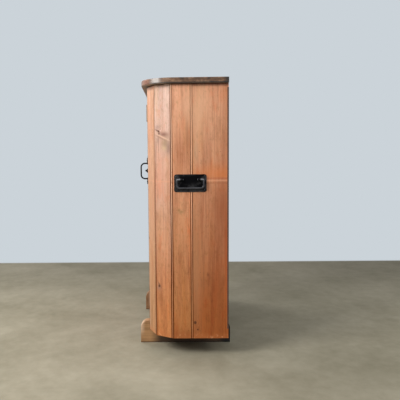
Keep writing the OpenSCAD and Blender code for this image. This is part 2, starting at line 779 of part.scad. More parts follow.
// Door pull: a bar bent square with a flattened lug at each end
module half_pull() {
    rise = grip_h / 2 - grip_corner_r;
    out = grip_reach - grip_r;
    rotate([0, 90, 0]) rotate([0, 0, 90]) {
        translate([0, out, 0]) bar_x(grip_r, rise);
        translate([rise, out - grip_corner_r, 0]) bend(grip_corner_r, grip_r);
        translate([grip_h / 2, 0, 0]) bar_y(grip_r, out - grip_corner_r);
    }
    difference() {
        linear_extrude(lug_t) {
            translate([-lug_w / 2, grip_h / 2 - grip_r - 2])
                square([lug_w, lug_l - lug_w / 2 + grip_r + 2]);
            translate([0, grip_h / 2 + lug_l - lug_w / 2]) circle(lug_w / 2);
        }
        translate([0, grip_h / 2 + lug_l * 0.55, -eps])
            cylinder(r = screw_r + joint_fit, h = lug_t + 2 * eps);
    }
}
module door_pull() {
    color(iron) on_front() translate([pull_x, pull_z, strip_t]) {
        half_pull();
        mirror([0, 1, 0]) half_pull();
    }
}
module pull_screws() {
    color(iron) for (s = [-1, 1])
        on_front() translate([pull_x, pull_z + s * (grip_h / 2 + lug_l * 0.55), strip_t + lug_t])
            screw(lug_t + strip_t + screw_l - eps);
}

// Latch: a pointed knob, its spindle, and a tongue that turns behind the left-hand door
square_w = spindle_r * 1.35;      // side of the spindle's square end
tongue_gap = 0.5;                 // gap between the tongue and the door's lining
module latch_knob() {
    tail = board_t + ledge_t + lining_t + tongue_gap;
    color(iron) on_front() translate([latch_x, latch_z, 0]) {
        translate([0, 0, clear]) rotate_extrude() polygon([[0, 0], [knob_r * 0.75, 0],
            [knob_r * 0.75, knob_l * 0.06], [knob_r * 0.42, knob_l * 0.11], [knob_r * 0.4, knob_l * 0.2],
            [knob_r * 0.85, knob_l * 0.29], [knob_r, knob_l * 0.37], [knob_r * 0.93, knob_l * 0.47],
            [knob_r * 0.68, knob_l * 0.58], [knob_r * 0.46, knob_l * 0.71], [knob_r * 0.32, knob_l * 0.84],
            [knob_r * 0.22, knob_l * 0.95], [knob_r * 0.1, knob_l], [0, knob_l]]);
        translate([0, 0, -tail]) cylinder(r = spindle_r, h = tail + clear + eps);
        translate([-square_w / 2, -square_w / 2, -tail - tongue_plate_t - 1])
            cube([square_w, square_w, tongue_plate_t + 1 + eps]);
    }
}
module latch_tongue() {
    l = latch_x + tongue_reach;
    hole = square_w + 2 * running_fit;
    color(iron) on_front()
        translate([latch_x, latch_z, -board_t - ledge_t - lining_t - tongue_gap - tongue_plate_t])
        linear_extrude(tongue_plate_t) difference() {
            union() {
                circle(tongue_plate_w / 2);
                translate([-tongue_plate_w / 2, -l + tongue_plate_w / 2])
                    square([tongue_plate_w, l - tongue_plate_w / 2]);
                translate([0, -l + tongue_plate_w / 2]) circle(tongue_plate_w / 2);
            }
            square([hole, hole], center = true);
        }
}

// Bolt at the head of the left-hand door, drawn back at rest
bolt_plate_t = 2;                 // thickness of the bolt's back plate
loop_h = 14;                      // height of each loop that guides the bolt
loop_r = bolt_r + 3;              // outer radius of the loops
bolt_v = min(lining_in_v - bolt_plate_t, rail_back_v) - loop_r;
bolt_out = lining_in_v - bolt_plate_t - bolt_v;
bolt_y = back_y - bolt_v;
bolt_drop = 3;                    // gap between the drawn-back bolt and the rail above it
loop_inset = 4;                   // from the plate's foot to the lower loop
bolt_knob_rise = 6;               // from the lower loop to the bolt's knob
bolt_z1 = board_top - top_rail_h - bolt_drop;
bolt_plate_z1 = ledge_zs[2] + ledge_h - ledge_bevel;
module bolt_loop(h, fit) {
    difference() {
        union() {
            cylinder(r = loop_r, h = h);
            translate([-loop_r, -bolt_out - eps, 0]) cube([2 * loop_r, bolt_out + eps, h]);
        }
        translate([0, 0, -eps]) cylinder(r = bolt_r + fit, h = h + 2 * eps);
    }
}
module bolt_plate() {
    color(iron) translate([-bolt_x, bolt_y, 0]) union() {
        translate([-bolt_plate_w / 2, -bolt_out - bolt_plate_t, bolt_plate_z1 - bolt_plate_h])
            cube([bolt_plate_w, bolt_plate_t, bolt_plate_h]);
        for (z = [bolt_plate_z1 - loop_h, bolt_plate_z1 - bolt_plate_h + loop_inset])
            translate([0, 0, z]) bolt_loop(loop_h, running_fit);
    }
}
module bolt() {
    z0 = bolt_plate_z1 - bolt_plate_h;
    color(iron) translate([-bolt_x, bolt_y, 0]) {
        translate([0, 0, z0]) cylinder(r = bolt_r, h = bolt_z1 - z0);
        translate([0, 0, z0 + loop_inset + loop_h + bolt_knob_rise]) rotate([-90, 0, 0]) {
            cylinder(r = bolt_r * 0.7, h = 2 * loop_r);
            translate([0, 0, 2 * loop_r]) sphere(bolt_r);
        }
    }
}
// Keeper: a flat bar bent square round the bolt's way, its feet on the top rail
module bolt_keeper() {
    depth = rail_back_v - bolt_v;
    way = bolt_r + eps;
    foot = way + bolt_plate_t;
    color(iron) translate([-bolt_x, bolt_y, board_top - top_rail_h + bolt_plate_t])
        linear_extrude(bolt_travel) polygon([[-bolt_plate_w / 2, -depth], [-way, -depth], [-way, way], [way, way], [way, -depth],
            [bolt_plate_w / 2, -depth], [bolt_plate_w / 2, -depth + bolt_plate_t],
            [foot, -depth + bolt_plate_t], [foot, foot], [-foot, foot], [-foot, -depth + bolt_plate_t],
            [-bolt_plate_w / 2, -depth + bolt_plate_t]]);
}

top_front_board();
top_rear_board();
right_rear_board();
right_middle_board();
right_corner_rear_board();
right_corner_front_board();
left_rear_board();
left_middle_board();
left_corner_rear_board();
left_corner_front_board();
right_front_stile();
left_front_stile();
right_rear_post();
left_rear_post();
front_top_rail();
front_bottom_rail();
rear_top_batten();
floor_boards();
right_runner();
left_runner();
right_top_rib();
left_top_rib();
right_lining();
left_lining();
ceiling_lining();
right_shelf_bearers();
left_shelf_bearers();
lower_shelf();
middle_shelf();
upper_shelf();
right_handle_plate();
left_handle_plate();
handle_screws();
hinge_frame_leaves();
hinge_pins();
bolt_keeper();
right_handle_bail();
left_handle_bail();
right_door_board_1();
right_door_board_2();
right_door_board_3();
right_door_board_4();
right_door_ledges();
right_door_lining();
right_hinge_door_leaves();
right_meeting_strip();
door_pull();
pull_screws();
latch_knob();
latch_tongue();
left_door_board_1();
left_door_board_2();
left_door_board_3();
left_door_board_4();
left_door_ledges();
left_door_lining();
left_hinge_door_leaves();
left_meeting_strip();
bolt_plate();
bolt();
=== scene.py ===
"""Looks of the warming cabinet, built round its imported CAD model."""
import math
import random

import bmesh
import bpy
from mathutils import Matrix, Vector


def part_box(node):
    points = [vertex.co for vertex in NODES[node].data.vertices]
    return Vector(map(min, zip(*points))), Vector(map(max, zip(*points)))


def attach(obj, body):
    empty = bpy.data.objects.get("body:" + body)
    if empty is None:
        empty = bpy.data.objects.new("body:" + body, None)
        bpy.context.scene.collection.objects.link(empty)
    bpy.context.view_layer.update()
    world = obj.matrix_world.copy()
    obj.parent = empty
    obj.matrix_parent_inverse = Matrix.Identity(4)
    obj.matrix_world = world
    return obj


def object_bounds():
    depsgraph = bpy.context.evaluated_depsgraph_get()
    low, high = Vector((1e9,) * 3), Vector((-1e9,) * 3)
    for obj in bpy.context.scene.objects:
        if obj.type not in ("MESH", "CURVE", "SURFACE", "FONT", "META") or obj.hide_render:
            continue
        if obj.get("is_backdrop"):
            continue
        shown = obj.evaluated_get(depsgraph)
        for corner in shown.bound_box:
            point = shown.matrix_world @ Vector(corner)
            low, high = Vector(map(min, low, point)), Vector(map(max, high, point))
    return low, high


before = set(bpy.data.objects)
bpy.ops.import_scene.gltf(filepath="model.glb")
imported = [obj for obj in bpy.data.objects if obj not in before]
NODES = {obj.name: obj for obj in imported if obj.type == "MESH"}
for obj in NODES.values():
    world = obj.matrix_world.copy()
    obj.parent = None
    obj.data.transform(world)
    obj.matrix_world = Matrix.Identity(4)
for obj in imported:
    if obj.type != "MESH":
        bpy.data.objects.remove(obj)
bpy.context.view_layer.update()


# Places
# All lengths are in metres. A plan point is (u, v): u inboard from the side's outer face, v forward from
# the back.
SIDES = ((1, "right"), (-1, "left"))
SIDE_X = 0.575
TOP_END_X = 0.595
BACK_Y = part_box("right_rear_board")[1].y
BOARD_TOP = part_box("right_rear_board")[1].z
BOARD_FOOT = 0.1
TONE_SPAN = (BOARD_FOOT, 1.505)
# a point inside the cabinet, to tell the walls' outer faces by
INSIDE = Vector((0.0, 0.1, 0.0))


def turned(point, turn_deg, length):
    """The plan point at a length from another, in a direction turned inboard from forward."""
    a = math.radians(turn_deg)
    return (point[0] + length * math.sin(a), point[1] + length * math.cos(a))


WALL_REAR = (0.0, 0.0)
WALL_SEAM = (0.0, 0.196)
WALL_TURN = (0.0, 0.306)
CORNER_SEAM = turned(WALL_TURN, 31, 0.113)
CORNER_END = turned(CORNER_SEAM, 69, 0.118)
FRONT_Y = BACK_Y - CORNER_END[1]
RUNNER_TOE_Y = FRONT_Y - 0.056


def plan(side, u, v):
    """World x and y of a plan point; side is +1 for the right-hand side."""
    return Vector((side * (SIDE_X - u), BACK_Y - v, 0.0))


def wall_face(side, a, b):
    """The ends, direction and outward normal of the wall's face from plan point a to b."""
    start, end = plan(side, *a), plan(side, *b)
    run = (end - start).normalized()
    out = Vector((run.y, -run.x, 0.0))
    if out.dot((start + end) / 2 - INSIDE) < 0:
        out = -out
    return start, end, run, out


# Shader nodes
def srgb(r, g, b):
    """A colour written as 0 to 255, made linear."""
    def lin(c):
        c /= 255.0
        return c / 12.92 if c <= 0.04045 else ((c + 0.055) / 1.055) ** 2.4
    return (lin(r), lin(g), lin(b), 1.0)


class Shader:
    """One material, with short calls for the nodes in it, and its colour so far."""

    def __init__(self, name):
        self.mat = bpy.data.materials.new(name)
        self.mat.use_nodes = True
        self.tree = self.mat.node_tree
        self.tree.nodes.clear()
        self.out = self.add("OutputMaterial")
        self.bsdf = self.add("BsdfPrincipled")
        self.tree.links.new(self.bsdf.outputs[0], self.out.inputs[0])
        self.point = self.add("TexCoord").outputs["Object"]
        sep = self.add("SeparateXYZ")
        self.tree.links.new(self.point, sep.inputs[0])
        self.x, self.y, self.z = sep.outputs
        self.axes = (self.x, self.y, self.z)
        self.colour = None

    def add(self, kind):
        """A new node of a kind, by its name without ShaderNode."""
        return self.tree.nodes.new("ShaderNode" + kind)

    def put(self, socket, value):
        """Links a value that comes from a node, and sets any other."""
        if isinstance(value, bpy.types.NodeSocket):
            self.tree.links.new(value, socket)
        else:
            socket.default_value = value

    def calc(self, op, a, b=None, c=None, clamp=False):
        """One step of arithmetic, held between 0 and 1 if clamp is set."""
        n = self.add("Math")
        n.operation = op
        n.use_clamp = clamp
        for socket, value in zip(n.inputs, (a, b, c)):
            if value is not None:
                self.put(socket, value)
        return n.outputs[0]

    def sum(self, first, *rest):
        for r in rest:
            first = self.calc("ADD", first, r)
        return first

    def times(self, a, b):
        """The product, held between 0 and 1."""
        return self.calc("MULTIPLY", a, b, clamp=True)

    def scaled(self, a, k, c=0.0):
        """a times k, plus c."""
        return self.calc("MULTIPLY_ADD", a, k, c)

    def vec(self, x, y, z):
        n = self.add("CombineXYZ")
        for socket, value in zip(n.inputs, (x, y, z)):
            self.put(socket, value)
        return n.outputs[0]

    def dot(self, direction, offset=0.0):
        """Place of the shaded point along a direction."""
        total = None
        for axis, k in zip((self.x, self.y, self.z), direction):
            if abs(k) > 1e-9:
                total = self.scaled(axis, k) if total is None else self.scaled(axis, k, total)
        return self.calc("SUBTRACT", total, offset) if offset else total

    def noise(self, vector, scale=1.0, detail=3.0, rough=0.5, distort=0.0):
        """Noise from 0 to 1, with so many waves per unit of the vector."""
        n = self.add("TexNoise")
        self.put(n.inputs["Vector"], vector)
        keys = ("Scale", "Detail", "Roughness", "Distortion")
        for key, value in zip(keys, (scale, detail, rough, distort)):
            n.inputs[key].default_value = value
        return n.outputs["Fac"]

    def drawn(self, waves, detail, rough=0.5, starts=(0.0, 0.0, 0.0)):
        """Noise with its own number of waves per metre along each axis, and its own start."""
        places = [self.scaled(axis, k, start) if k else start
                  for axis, k, start in zip(self.axes, waves, starts)]
        return self.noise(self.vec(*places), detail=detail, rough=rough)

    def band(self, value, low, high, to_low=0.0, to_high=1.0):
        """Smooth step of value from low to high."""
        n = self.add("MapRange")
        n.interpolation_type = "SMOOTHSTEP"
        keys = ("Value", "From Min", "From Max", "To Min", "To Max")
        for key, v in zip(keys, (value, low, high, to_low, to_high)):
            self.put(n.inputs[key], v)
        return n.outputs[0]

    def ramp(self, value, stops):
        """The colour of the stops, each (place, colour), at value."""
        n = self.add("ValToRGB")
        while len(n.color_ramp.elements) < len(stops):
            n.color_ramp.elements.new(0.5)
        for e, (place, colour) in zip(n.color_ramp.elements, stops):
            e.position = place
            e.color = colour
        self.put(n.inputs[0], value)
        return n.outputs[0]

    def mix(self, share, a, b, blend="MIX"):
        """Colour a, with a share of b blended over it."""
        n = self.add("Mix")
        n.data_type = "RGBA"
        n.blend_type = blend
        self.put(n.inputs[0], share)
        self.put(n.inputs[6], a)
        self.put(n.inputs[7], b)
        return n.outputs[2]

    def lay(self, share, colour):
        """Covers the colour so far by a share of another."""
        self.colour = self.mix(share, self.colour, colour)

    def stain(self, share, tint):
        """Multiplies a share of the colour so far by a tint."""
        self.colour = self.mix(share, self.colour, tint, "MULTIPLY")

    def blob(self, u, v, u0, v0, wide, tall):
        """1 in the middle of an oval patch, 0 well outside it."""
        du = self.calc("POWER", self.scaled(u, 1 / wide, -u0 / wide), 2.0)
        dv = self.calc("POWER", self.scaled(v, 1 / tall, -v0 / tall), 2.0)
        return self.calc("EXPONENT", self.scaled(self.calc("ADD", du, dv), -1.0))

    def slash(self, u, v, start, end, half):
        """1 along a line from start to end, 0 beyond half its width."""
        du, dv = end[0] - start[0], end[1] - start[1]
        size = math.hypot(du, dv)
        du, dv = du / size, dv / size
        mid_u, mid_v = (start[0] + end[0]) / 2, (start[1] + end[1]) / 2
        along = self.sum(self.scaled(u, du, -mid_u * du - mid_v * dv), self.scaled(v, dv))
        beside = self.sum(self.scaled(u, -dv, mid_u * dv - mid_v * du), self.scaled(v, du))
        return self.blob(along, beside, 0.0, 0.0, size / 2, half)

    def surface(self, values, bump, strength, distance):
        """Puts the colour so far, the named values and a bump on the shader, and returns the material."""
        self.put(self.bsdf.inputs["Base Color"], self.colour)
        for key, value in values.items():
            self.put(self.bsdf.inputs[key], value)
        n = self.add("Bump")
        n.inputs["Strength"].default_value = strength
        n.inputs["Distance"].default_value = distance
        self.put(n.inputs["Height"], bump)
        self.put(self.bsdf.inputs["Normal"], n.outputs[0])
        return self.mat


# Wood
KNOT = srgb(92, 48, 24)
DIRT = srgb(92, 41, 8)
LATE_WOOD = srgb(168, 118, 82)
GLOSS = 0.35
SEED_STEP = 3.71


class Pine(Shader):
    """Sawn pine. along, across and depth are the board's directions, and middle is a point on its face."""

    def __init__(self, name, along, across, depth, middle, seed):
        super().__init__(name)
        self.along = self.dot(along)
        self.across = self.dot(across, middle.dot(Vector(across)))
        self.deep = self.dot(depth, middle.dot(Vector(depth)))
        self.axes = (self.across, self.along, self.deep)
        self.start = seed * SEED_STEP
        self.grain = self.drawn((420.0, 9.0, 420.0), detail=3.0, rough=0.6, starts=(0.0, self.start, 0.0))
        self.fine = self.figure((150.0, 3.5, 60.0), detail=4.0, rough=0.65)
        self.streak = self.figure((42.0, 1.7, 20.0), detail=4.0, rough=0.6)
        self.cloud = self.figure((8.0, 2.4, 0.0), detail=4.0, rough=0.55, shift=(0.0, 4.0))

    def figure(self, waves, detail, rough=0.5, shift=(0.0, 0.0)):
        """Noise drawn out along the board, with so many waves per metre across, along and into it."""
        return self.drawn(waves, detail, rough, (self.start + shift[0], self.start + shift[1], 0.0))

    def grow(self, pith, lean, ring, knots):
        """Yearly rings, a ring apart, round a leaning heart, pushed aside by knots."""
        slow = self.figure((3.0, 1.3, 3.0), detail=2.0)
        sway = self.figure((1.5, 2.6, 0.0), detail=2.0, shift=(9.0, 0.0))
        heart_across = self.sum(self.scaled(self.along, lean[0], -pith[0]), self.across,
                                self.scaled(slow, 0.04, -0.02))
        heart_deep = self.sum(self.scaled(self.along, lean[1], pith[1]), self.deep,
                              self.scaled(sway, 0.03, -0.015))
        squares = self.sum(self.calc("POWER", heart_across, 2.0), self.calc("POWER", heart_deep, 2.0))
        self.radius = self.calc("SQRT", squares)
        self.knot = None
        for across, along, size in knots:
            swell = self.blob(self.across, self.along, across, along, size * 2.4, size * 5.5)
            self.radius = self.calc("MULTIPLY_ADD", swell, size * 1.6, self.radius)
            core = self.blob(self.across, self.along, across, along, size * 0.95, size * 1.2)
            core = self.band(core, 0.30, 0.62)
            self.knot = core if self.knot is None else self.calc("MAXIMUM", self.knot, core)
        years = self.sum(self.scaled(self.radius, 1 / ring), self.scaled(self.grain, 0.35))
        phase = self.calc("FRACT", years)
        self.late = self.times(self.band(phase, 0.25, 0.86), self.band(phase, 0.93, 1.0, 1.0, 0.0))

    def tone(self, top, foot, span, contrast):
        """The board's colour from foot to top, with its grain and its warm and grey drifts."""
        rise = self.sum(self.along, self.scaled(self.cloud, 0.3, -0.15))
        self.colour = self.mix(self.band(rise, span[0], span[1]), foot, top)
        k = contrast
        tint = self.sum(self.scaled(self.late, k * 0.75), self.scaled(self.fine, k * 2.4, -k * 1.10),
                        self.scaled(self.streak, k * 2.0, -k * 0.97),
                        self.scaled(self.cloud, k * 0.9, -k * 0.45), self.scaled(self.grain, k, -k * 0.48))
        self.tint = self.calc("ADD", tint, 0.0, clamp=True)
        self.stain(self.tint, LATE_WOOD)
        haze = self.figure((24.0, 7.0, 0.0), detail=5.0, rough=0.62, shift=(3.0, 6.0))
        mottle = self.figure((80.0, 34.0, 0.0), detail=3.0, rough=0.6, shift=(1.0, 8.0))
        blush = self.figure((14.0, 1.6, 0.0), detail=2.0, shift=(7.0, 2.0))
        for drift, none, full, share, shade in ((haze, 0.50, 0.68, 0.45, srgb(206, 196, 184)),
                                                (haze, 0.47, 0.30, 0.40, srgb(255, 206, 168)),
                                                (mottle, 0.50, 0.68, k, srgb(220, 216, 194)),
                                                (mottle, 0.48, 0.32, k, srgb(255, 236, 226)),
                                                (blush, 0.50, 0.72, 0.5, srgb(255, 216, 190)),
                                                (blush, 0.50, 0.30, 0.5, srgb(244, 232, 196))):
            self.stain(self.band(drift, none, full, 0.0, share), shade)

    def mark(self, marks, slashes):
        """Oval stains, worn by the grain, and straight scores."""
        for across, along, wide, tall, share, shade in marks:
            patch = self.blob(self.across, self.along, across, along, wide, tall)
            self.lay(self.scaled(self.times(patch, self.scaled(self.fine, 1.0, 0.5)), share), shade)
        for start, end, half, share, shade in slashes:
            line = self.slash(self.across, self.along, start, end, half)
            self.lay(self.scaled(self.times(line, self.scaled(self.cloud, 0.8, 0.6)), share), shade)

    def wax(self, level, amber):
        """An old wax line across the board, with a share of amber above it."""
        above = self.times(self.band(self.along, level, level + 0.010),
                           self.band(self.along, level + 0.01, level + 0.11, 1.0, 0.0))
        patchy = self.sum(self.scaled(self.streak, 0.5, 0.15), self.scaled(self.across, -1.6))
        above = self.times(above, patchy)
        self.lay(self.scaled(above, amber), srgb(222, 126, 66))
        wave = self.scaled(self.cloud, 0.004, -0.002 - level)
        for place, share, shade in ((0.0, 0.35 * amber, srgb(186, 92, 50)),
                                    (-0.012, 0.2 + 0.25 * amber, srgb(236, 166, 128)),
                                    (-0.026, 0.25 * amber, srgb(150, 84, 52))):
            near = self.calc("ABSOLUTE", self.sum(self.along, wave, -place))
            self.lay(self.band(near, 0.002, 0.007, share, 0.0), shade)

    def knot_wood(self):
        """The knots' own dark wood, in fine rings."""
        if self.knot is None:
            return
        rings = self.noise(self.vec(self.scaled(self.radius, 420.0), 0.0, self.start), detail=2.0)
        self.lay(self.times(self.knot, self.scaled(rings, 0.5, 0.65)), KNOT)

    def rub_and_light_crown(self, place):
        """The top of a bead, rubbed pale and lit by a painted highlight, more so where hands reach it."""
        gap = self.calc("ABSOLUTE", self.calc("SUBTRACT", self.across, place))
        reach = self.band(self.along, 0.50, 0.90, 0.2, 1.0)
        # painted highlight on the bead's top, with some real rubbing
        self.lay(self.times(self.band(gap, 0.0010, 0.0034, 0.75, 0.0), reach), srgb(248, 194, 156))

    def shade_under_top(self, reach):
        """Painted shade under the top's overhang, with some smoke grime, as far down as reach, and a painted
        black shadow line right under the top.
        """
        ragged = self.sum(self.along, self.scaled(self.streak, 0.006, -0.003))
        # painted shade under the top's overhang, with some smoke grime
        self.stain(self.band(ragged, BOARD_TOP - reach, BOARD_TOP - 0.002, 0.0, 0.75), srgb(120, 78, 60))
        # painted black shadow line right under the top
        self.lay(self.band(ragged, BOARD_TOP - 0.0045, BOARD_TOP - 0.0020, 0.0, 0.9), srgb(36, 16, 9))

    def colour_back_half(self, colour):
        """The back half, from half the board's thickness inwards, in a colour of its own."""
        self.lay(self.band(self.deep, 0.008, 0.016), self.mix(self.tint, colour, srgb(150, 106, 66)))

    def wear_foot(self):
        """A kicked foot: a browner band, with pale chips in it."""
        ragged = self.sum(self.along, self.scaled(self.streak, 0.04, -0.02),
                          self.scaled(self.cloud, 0.03, -0.015))
        low = BOARD_FOOT + 0.004
        self.lay(self.band(ragged, low, BOARD_FOOT + 0.040, 0.4, 0.0), srgb(190, 112, 62))
        chips = self.drawn((60.0, 60.0, 0.0), detail=2.0, starts=(self.start, 0.0, 3.0))
        chip = self.times(self.band(chips, 0.54, 0.64), self.band(ragged, low, BOARD_FOOT + 0.028, 0.5, 0.0))
        self.lay(chip, srgb(222, 160, 112))

    def joint_dirt(self, joints):
        """Dirt in grooves, given as (place across, half width, share); returns the gloss that it leaves."""
        if not joints:
            return GLOSS
        upper = self.band(self.along, 0.85, 1.20, 1.0, 0.66)
        lower = self.band(self.along, 0.40, 0.80, 1.3, 1.0)
        settled = self.times(upper, self.scaled(self.cloud, 0.7, 0.68))
        settled = self.calc("MULTIPLY", settled, lower)
        settled = self.calc("MULTIPLY", settled, self.band(self.deep, 0.004, 0.007, 1.0, 0.25))
        gloss = GLOSS
        for place, half, share in joints:
            gap = self.calc("ABSOLUTE", self.calc("SUBTRACT", self.across, place))
            line = self.times(self.band(gap, half * 0.4, half, share, 0.0), settled)
            self.lay(line, DIRT)
            gloss = self.times(self.scaled(line, -1.0, 1.0), gloss)
        return gloss


def pine(name, along, across, depth, middle, seed, top, foot, contrast=0.5, rough=0.46, pith=(0.15, 0.05),
         lean=(0.012, 0.0), ring=0.0036, knots=(), marks=(), slashes=(), joints=(), crown=None,
         span=TONE_SPAN, worn_foot=False, top_shade=None, wax=None, back_colour=None):
    """A pine board's material.

    along, across and depth are the board's directions, middle a point on its face. top and foot are its
    colours at the two ends of span, contrast the strength of its grain, and rough its mean roughness.
    pith is where the tree's heart lies, across and behind the face, lean how it slants, and ring the
    yearly growth. knots are (across, along, radius), marks (across, along, wide, tall, share, colour),
    and slashes (start, end, half width, share, colour). joints are grooves that hold dirt, as
    (place across, half width, share), and crown is the place of a bead's top, rubbed pale and lit by a
    painted highlight. worn_foot says that the foot is kicked, top_shade how far the painted shade under
    the top reaches down, and wax where an old wax line crosses, as (height, share of amber). back_colour
    is the colour of the back half: smoked bare wood in the walls and doors, and dirt darkened by painted
    shade under the floor.
    """
    s = Pine(name, along, across, depth, middle, seed)
    s.grow(pith, lean, ring, knots)
    s.tone(top, foot, span, contrast)
    s.mark(marks, slashes)
    if wax:
        s.wax(*wax)
    s.knot_wood()
    if crown is not None:
        s.rub_and_light_crown(crown)
    if top_shade:
        s.shade_under_top(top_shade)
    if back_colour:
        s.colour_back_half(back_colour)
    if worn_foot:
        s.wear_foot()
    gloss = s.joint_dirt(joints)
    s.bsdf.inputs["Specular IOR Level"].default_value = GLOSS
    roughness = s.sum(s.scaled(s.late, -0.08, rough), s.scaled(s.cloud, 0.2, -0.1))
    ridges = s.sum(s.late, s.scaled(s.grain, 0.6), s.scaled(s.fine, 0.8))
    return s.surface({"Roughness": roughness, "Specular IOR Level": gloss}, ridges,
                     strength=0.35, distance=0.0005)


def dark_top(name):
    """Top boards: nearly black old finish, rubbed brown along the edges, with a pale grey painted highlight
    at the front corners and a painted shadow line along the lower arris.
    """
    s = Shader(name)
    streak = s.drawn((1.8, 40.0, 60.0), detail=4.0, rough=0.6)
    fine = s.drawn((12.0, 320.0, 320.0), detail=3.0, rough=0.6)
    cloud = s.noise(s.point, scale=4.0, detail=4.0, rough=0.6)
    wear = s.drawn((9.0, 26.0, 60.0), detail=4.0, rough=0.62)
    tint = s.sum(s.scaled(streak, 1.1, -0.3), s.scaled(fine, 0.6, -0.25), s.scaled(cloud, 0.6, -0.25),
                 s.scaled(wear, 0.9, -0.43))
    s.colour = s.ramp(tint, [(0.0, srgb(50, 32, 21)), (0.45, srgb(106, 76, 54)), (0.8, srgb(150, 113, 84)),
                             (1.0, srgb(176, 140, 110))])
    # rubbed pale where hands and cloths pass: the front, the corners and the ends; the grey patch at the
    # front corners is a painted highlight
    ends = s.calc("ABSOLUTE", s.x)
    edge = s.calc("MAXIMUM", s.band(s.y, FRONT_Y + 0.06, FRONT_Y - 0.03), s.band(ends, SIDE_X, TOP_END_X))
    pale = s.times(edge, s.band(wear, 0.50, 0.70))
    s.lay(s.scaled(pale, 0.45), srgb(168, 138, 112))
    # painted highlight: a pale grey patch on the front corners' edge
    grey = s.times(s.blob(s.y, ends, FRONT_Y + 0.050, 0.56, wide=0.020, tall=0.06), 1.9)
    s.lay(s.times(grey, s.band(wear, 0.30, 0.50)), srgb(182, 175, 170))
    red = s.blob(s.y, ends, FRONT_Y - 0.004, 0.50, wide=0.028, tall=0.09)
    s.lay(s.scaled(red, 0.5), srgb(160, 102, 78))
    # black towards the fire, a painted shadow line along the lower arris, and bare underneath
    s.lay(s.band(s.y, BACK_Y - 0.030, BACK_Y - 0.006, 0.0, 0.9), srgb(22, 17, 16))
    # painted shadow line along the lower arris, stronger back from the front
    ragged = s.sum(s.z, s.scaled(wear, 0.004, -0.002))
    low = s.band(ragged, BOARD_TOP + 0.004, BOARD_TOP + 0.008, 1.0, 0.0)
    s.lay(s.times(low, s.band(s.y, FRONT_Y + 0.01, FRONT_Y + 0.05, 0.3, 0.95)), srgb(22, 12, 8))
    bare = s.ramp(s.scaled(streak, 1.2, -0.1), [(0.2, srgb(118, 100, 80)), (0.8, srgb(156, 140, 116))])
    s.lay(s.band(s.z, BOARD_TOP + 0.0002, BOARD_TOP + 0.0008, 1.0, 0.0), bare)
    return s.surface({"Roughness": s.scaled(cloud, 0.3, 0.42)},
                     s.sum(streak, s.scaled(fine, 0.6), s.scaled(wear, 0.5)), strength=0.6, distance=0.0012)


def runner_wood(name):
    """Runners: grey-brown, with a painted highlight on the near runner's toe, and painted shade on the far
    runner, along their foot, under the cabinet and at their rear ends.
    """
    s = Shader(name)
    streak = s.drawn((60.0, 3.0, 60.0), detail=4.0, rough=0.6)
    fine = s.drawn((260.0, 12.0, 260.0), detail=3.0, rough=0.6)
    cloud = s.noise(s.point, scale=9.0, detail=3.0, rough=0.6)
    tint = s.sum(s.scaled(streak, 0.8, -0.15), s.scaled(fine, 0.4, -0.1), s.scaled(cloud, 0.6, -0.25))
    s.colour = s.ramp(tint, [(0.0, srgb(104, 70, 43)), (0.5, srgb(190, 145, 100)),
                             (1.0, srgb(224, 186, 140))])
    # painted contact shadow along the runners' foot
    s.lay(s.band(s.z, 0.0, 0.012, 0.85, 0.0), srgb(44, 28, 18))
    # painted highlight on the near runner's toe, with some rubbing
    toe = s.band(s.y, RUNNER_TOE_Y + 0.030, RUNNER_TOE_Y)
    rub_and_highlight = s.times(toe, s.times(s.band(s.z, 0.03, 0.09), s.band(s.x, -0.2, 0.2)))
    s.lay(s.scaled(rub_and_highlight, 0.85), srgb(230, 198, 168))
    # painted shade on the far runner
    s.lay(s.band(s.x, -0.2, 0.2, 0.5, 0.0), srgb(104, 62, 40))
    # painted shade on the runners under the cabinet, behind its front
    s.lay(s.band(s.y, FRONT_Y - 0.005, FRONT_Y + 0.07, 0.0, 0.85), srgb(48, 32, 22))
    # painted shade, near black, on the runners' rear ends in the cabinet's shadow
    ragged = s.sum(s.y, s.scaled(streak, 0.06, -0.03))
    s.lay(s.band(ragged, BACK_Y - 0.05, BACK_Y + 0.004, 0.0, 0.96), srgb(14, 11, 9))
    return s.surface({"Roughness": s.scaled(cloud, 0.25, 0.5)},
                     s.sum(streak, s.scaled(fine, 0.6)), strength=0.5, distance=0.001)


# Metal
def tinned(name, heat=0.5):
    """Tinned sheet iron: dull, with grey drifts, rust freckles, and brown stains by the share of heat."""
    s = Shader(name)
    cloud = s.noise(s.point, scale=3.0, detail=5.0, rough=0.6, distort=0.4)
    drift = s.drawn((4.0, 4.0, 1.2), detail=4.0, rough=0.6)
    freckle = s.noise(s.point, scale=70.0, detail=5.0, rough=0.7)
    grainy = s.noise(s.point, scale=600.0, detail=2.0, rough=0.5)
    s.colour = s.ramp(drift, [(0.25, srgb(134, 132, 127)), (0.5, srgb(172, 171, 166)),
                              (0.75, srgb(196, 196, 192))])
    brown = s.band(cloud, 0.48, 0.70)
    s.lay(s.scaled(brown, heat), srgb(128, 100, 72))
    rust = s.times(s.band(freckle, 0.60, 0.70), s.band(cloud, 0.42, 0.6))
    fold = s.band(s.calc("ABSOLUTE", s.x), SIDE_X - 0.003, SIDE_X - 0.001)
    rust = s.calc("MAXIMUM", rust, fold)
    s.lay(s.scaled(rust, 0.9), srgb(84, 48, 28))
    metallic = s.scaled(s.calc("MAXIMUM", brown, rust), -0.6, 0.85)
    roughness = s.sum(s.scaled(cloud, 0.3, 0.30), s.scaled(rust, 0.3), s.scaled(grainy, 0.06))
    dents = s.sum(cloud, s.scaled(freckle, 0.08), s.scaled(grainy, 0.01))
    return s.surface({"Metallic": metallic, "Roughness": roughness}, dents, strength=0.35, distance=0.004)


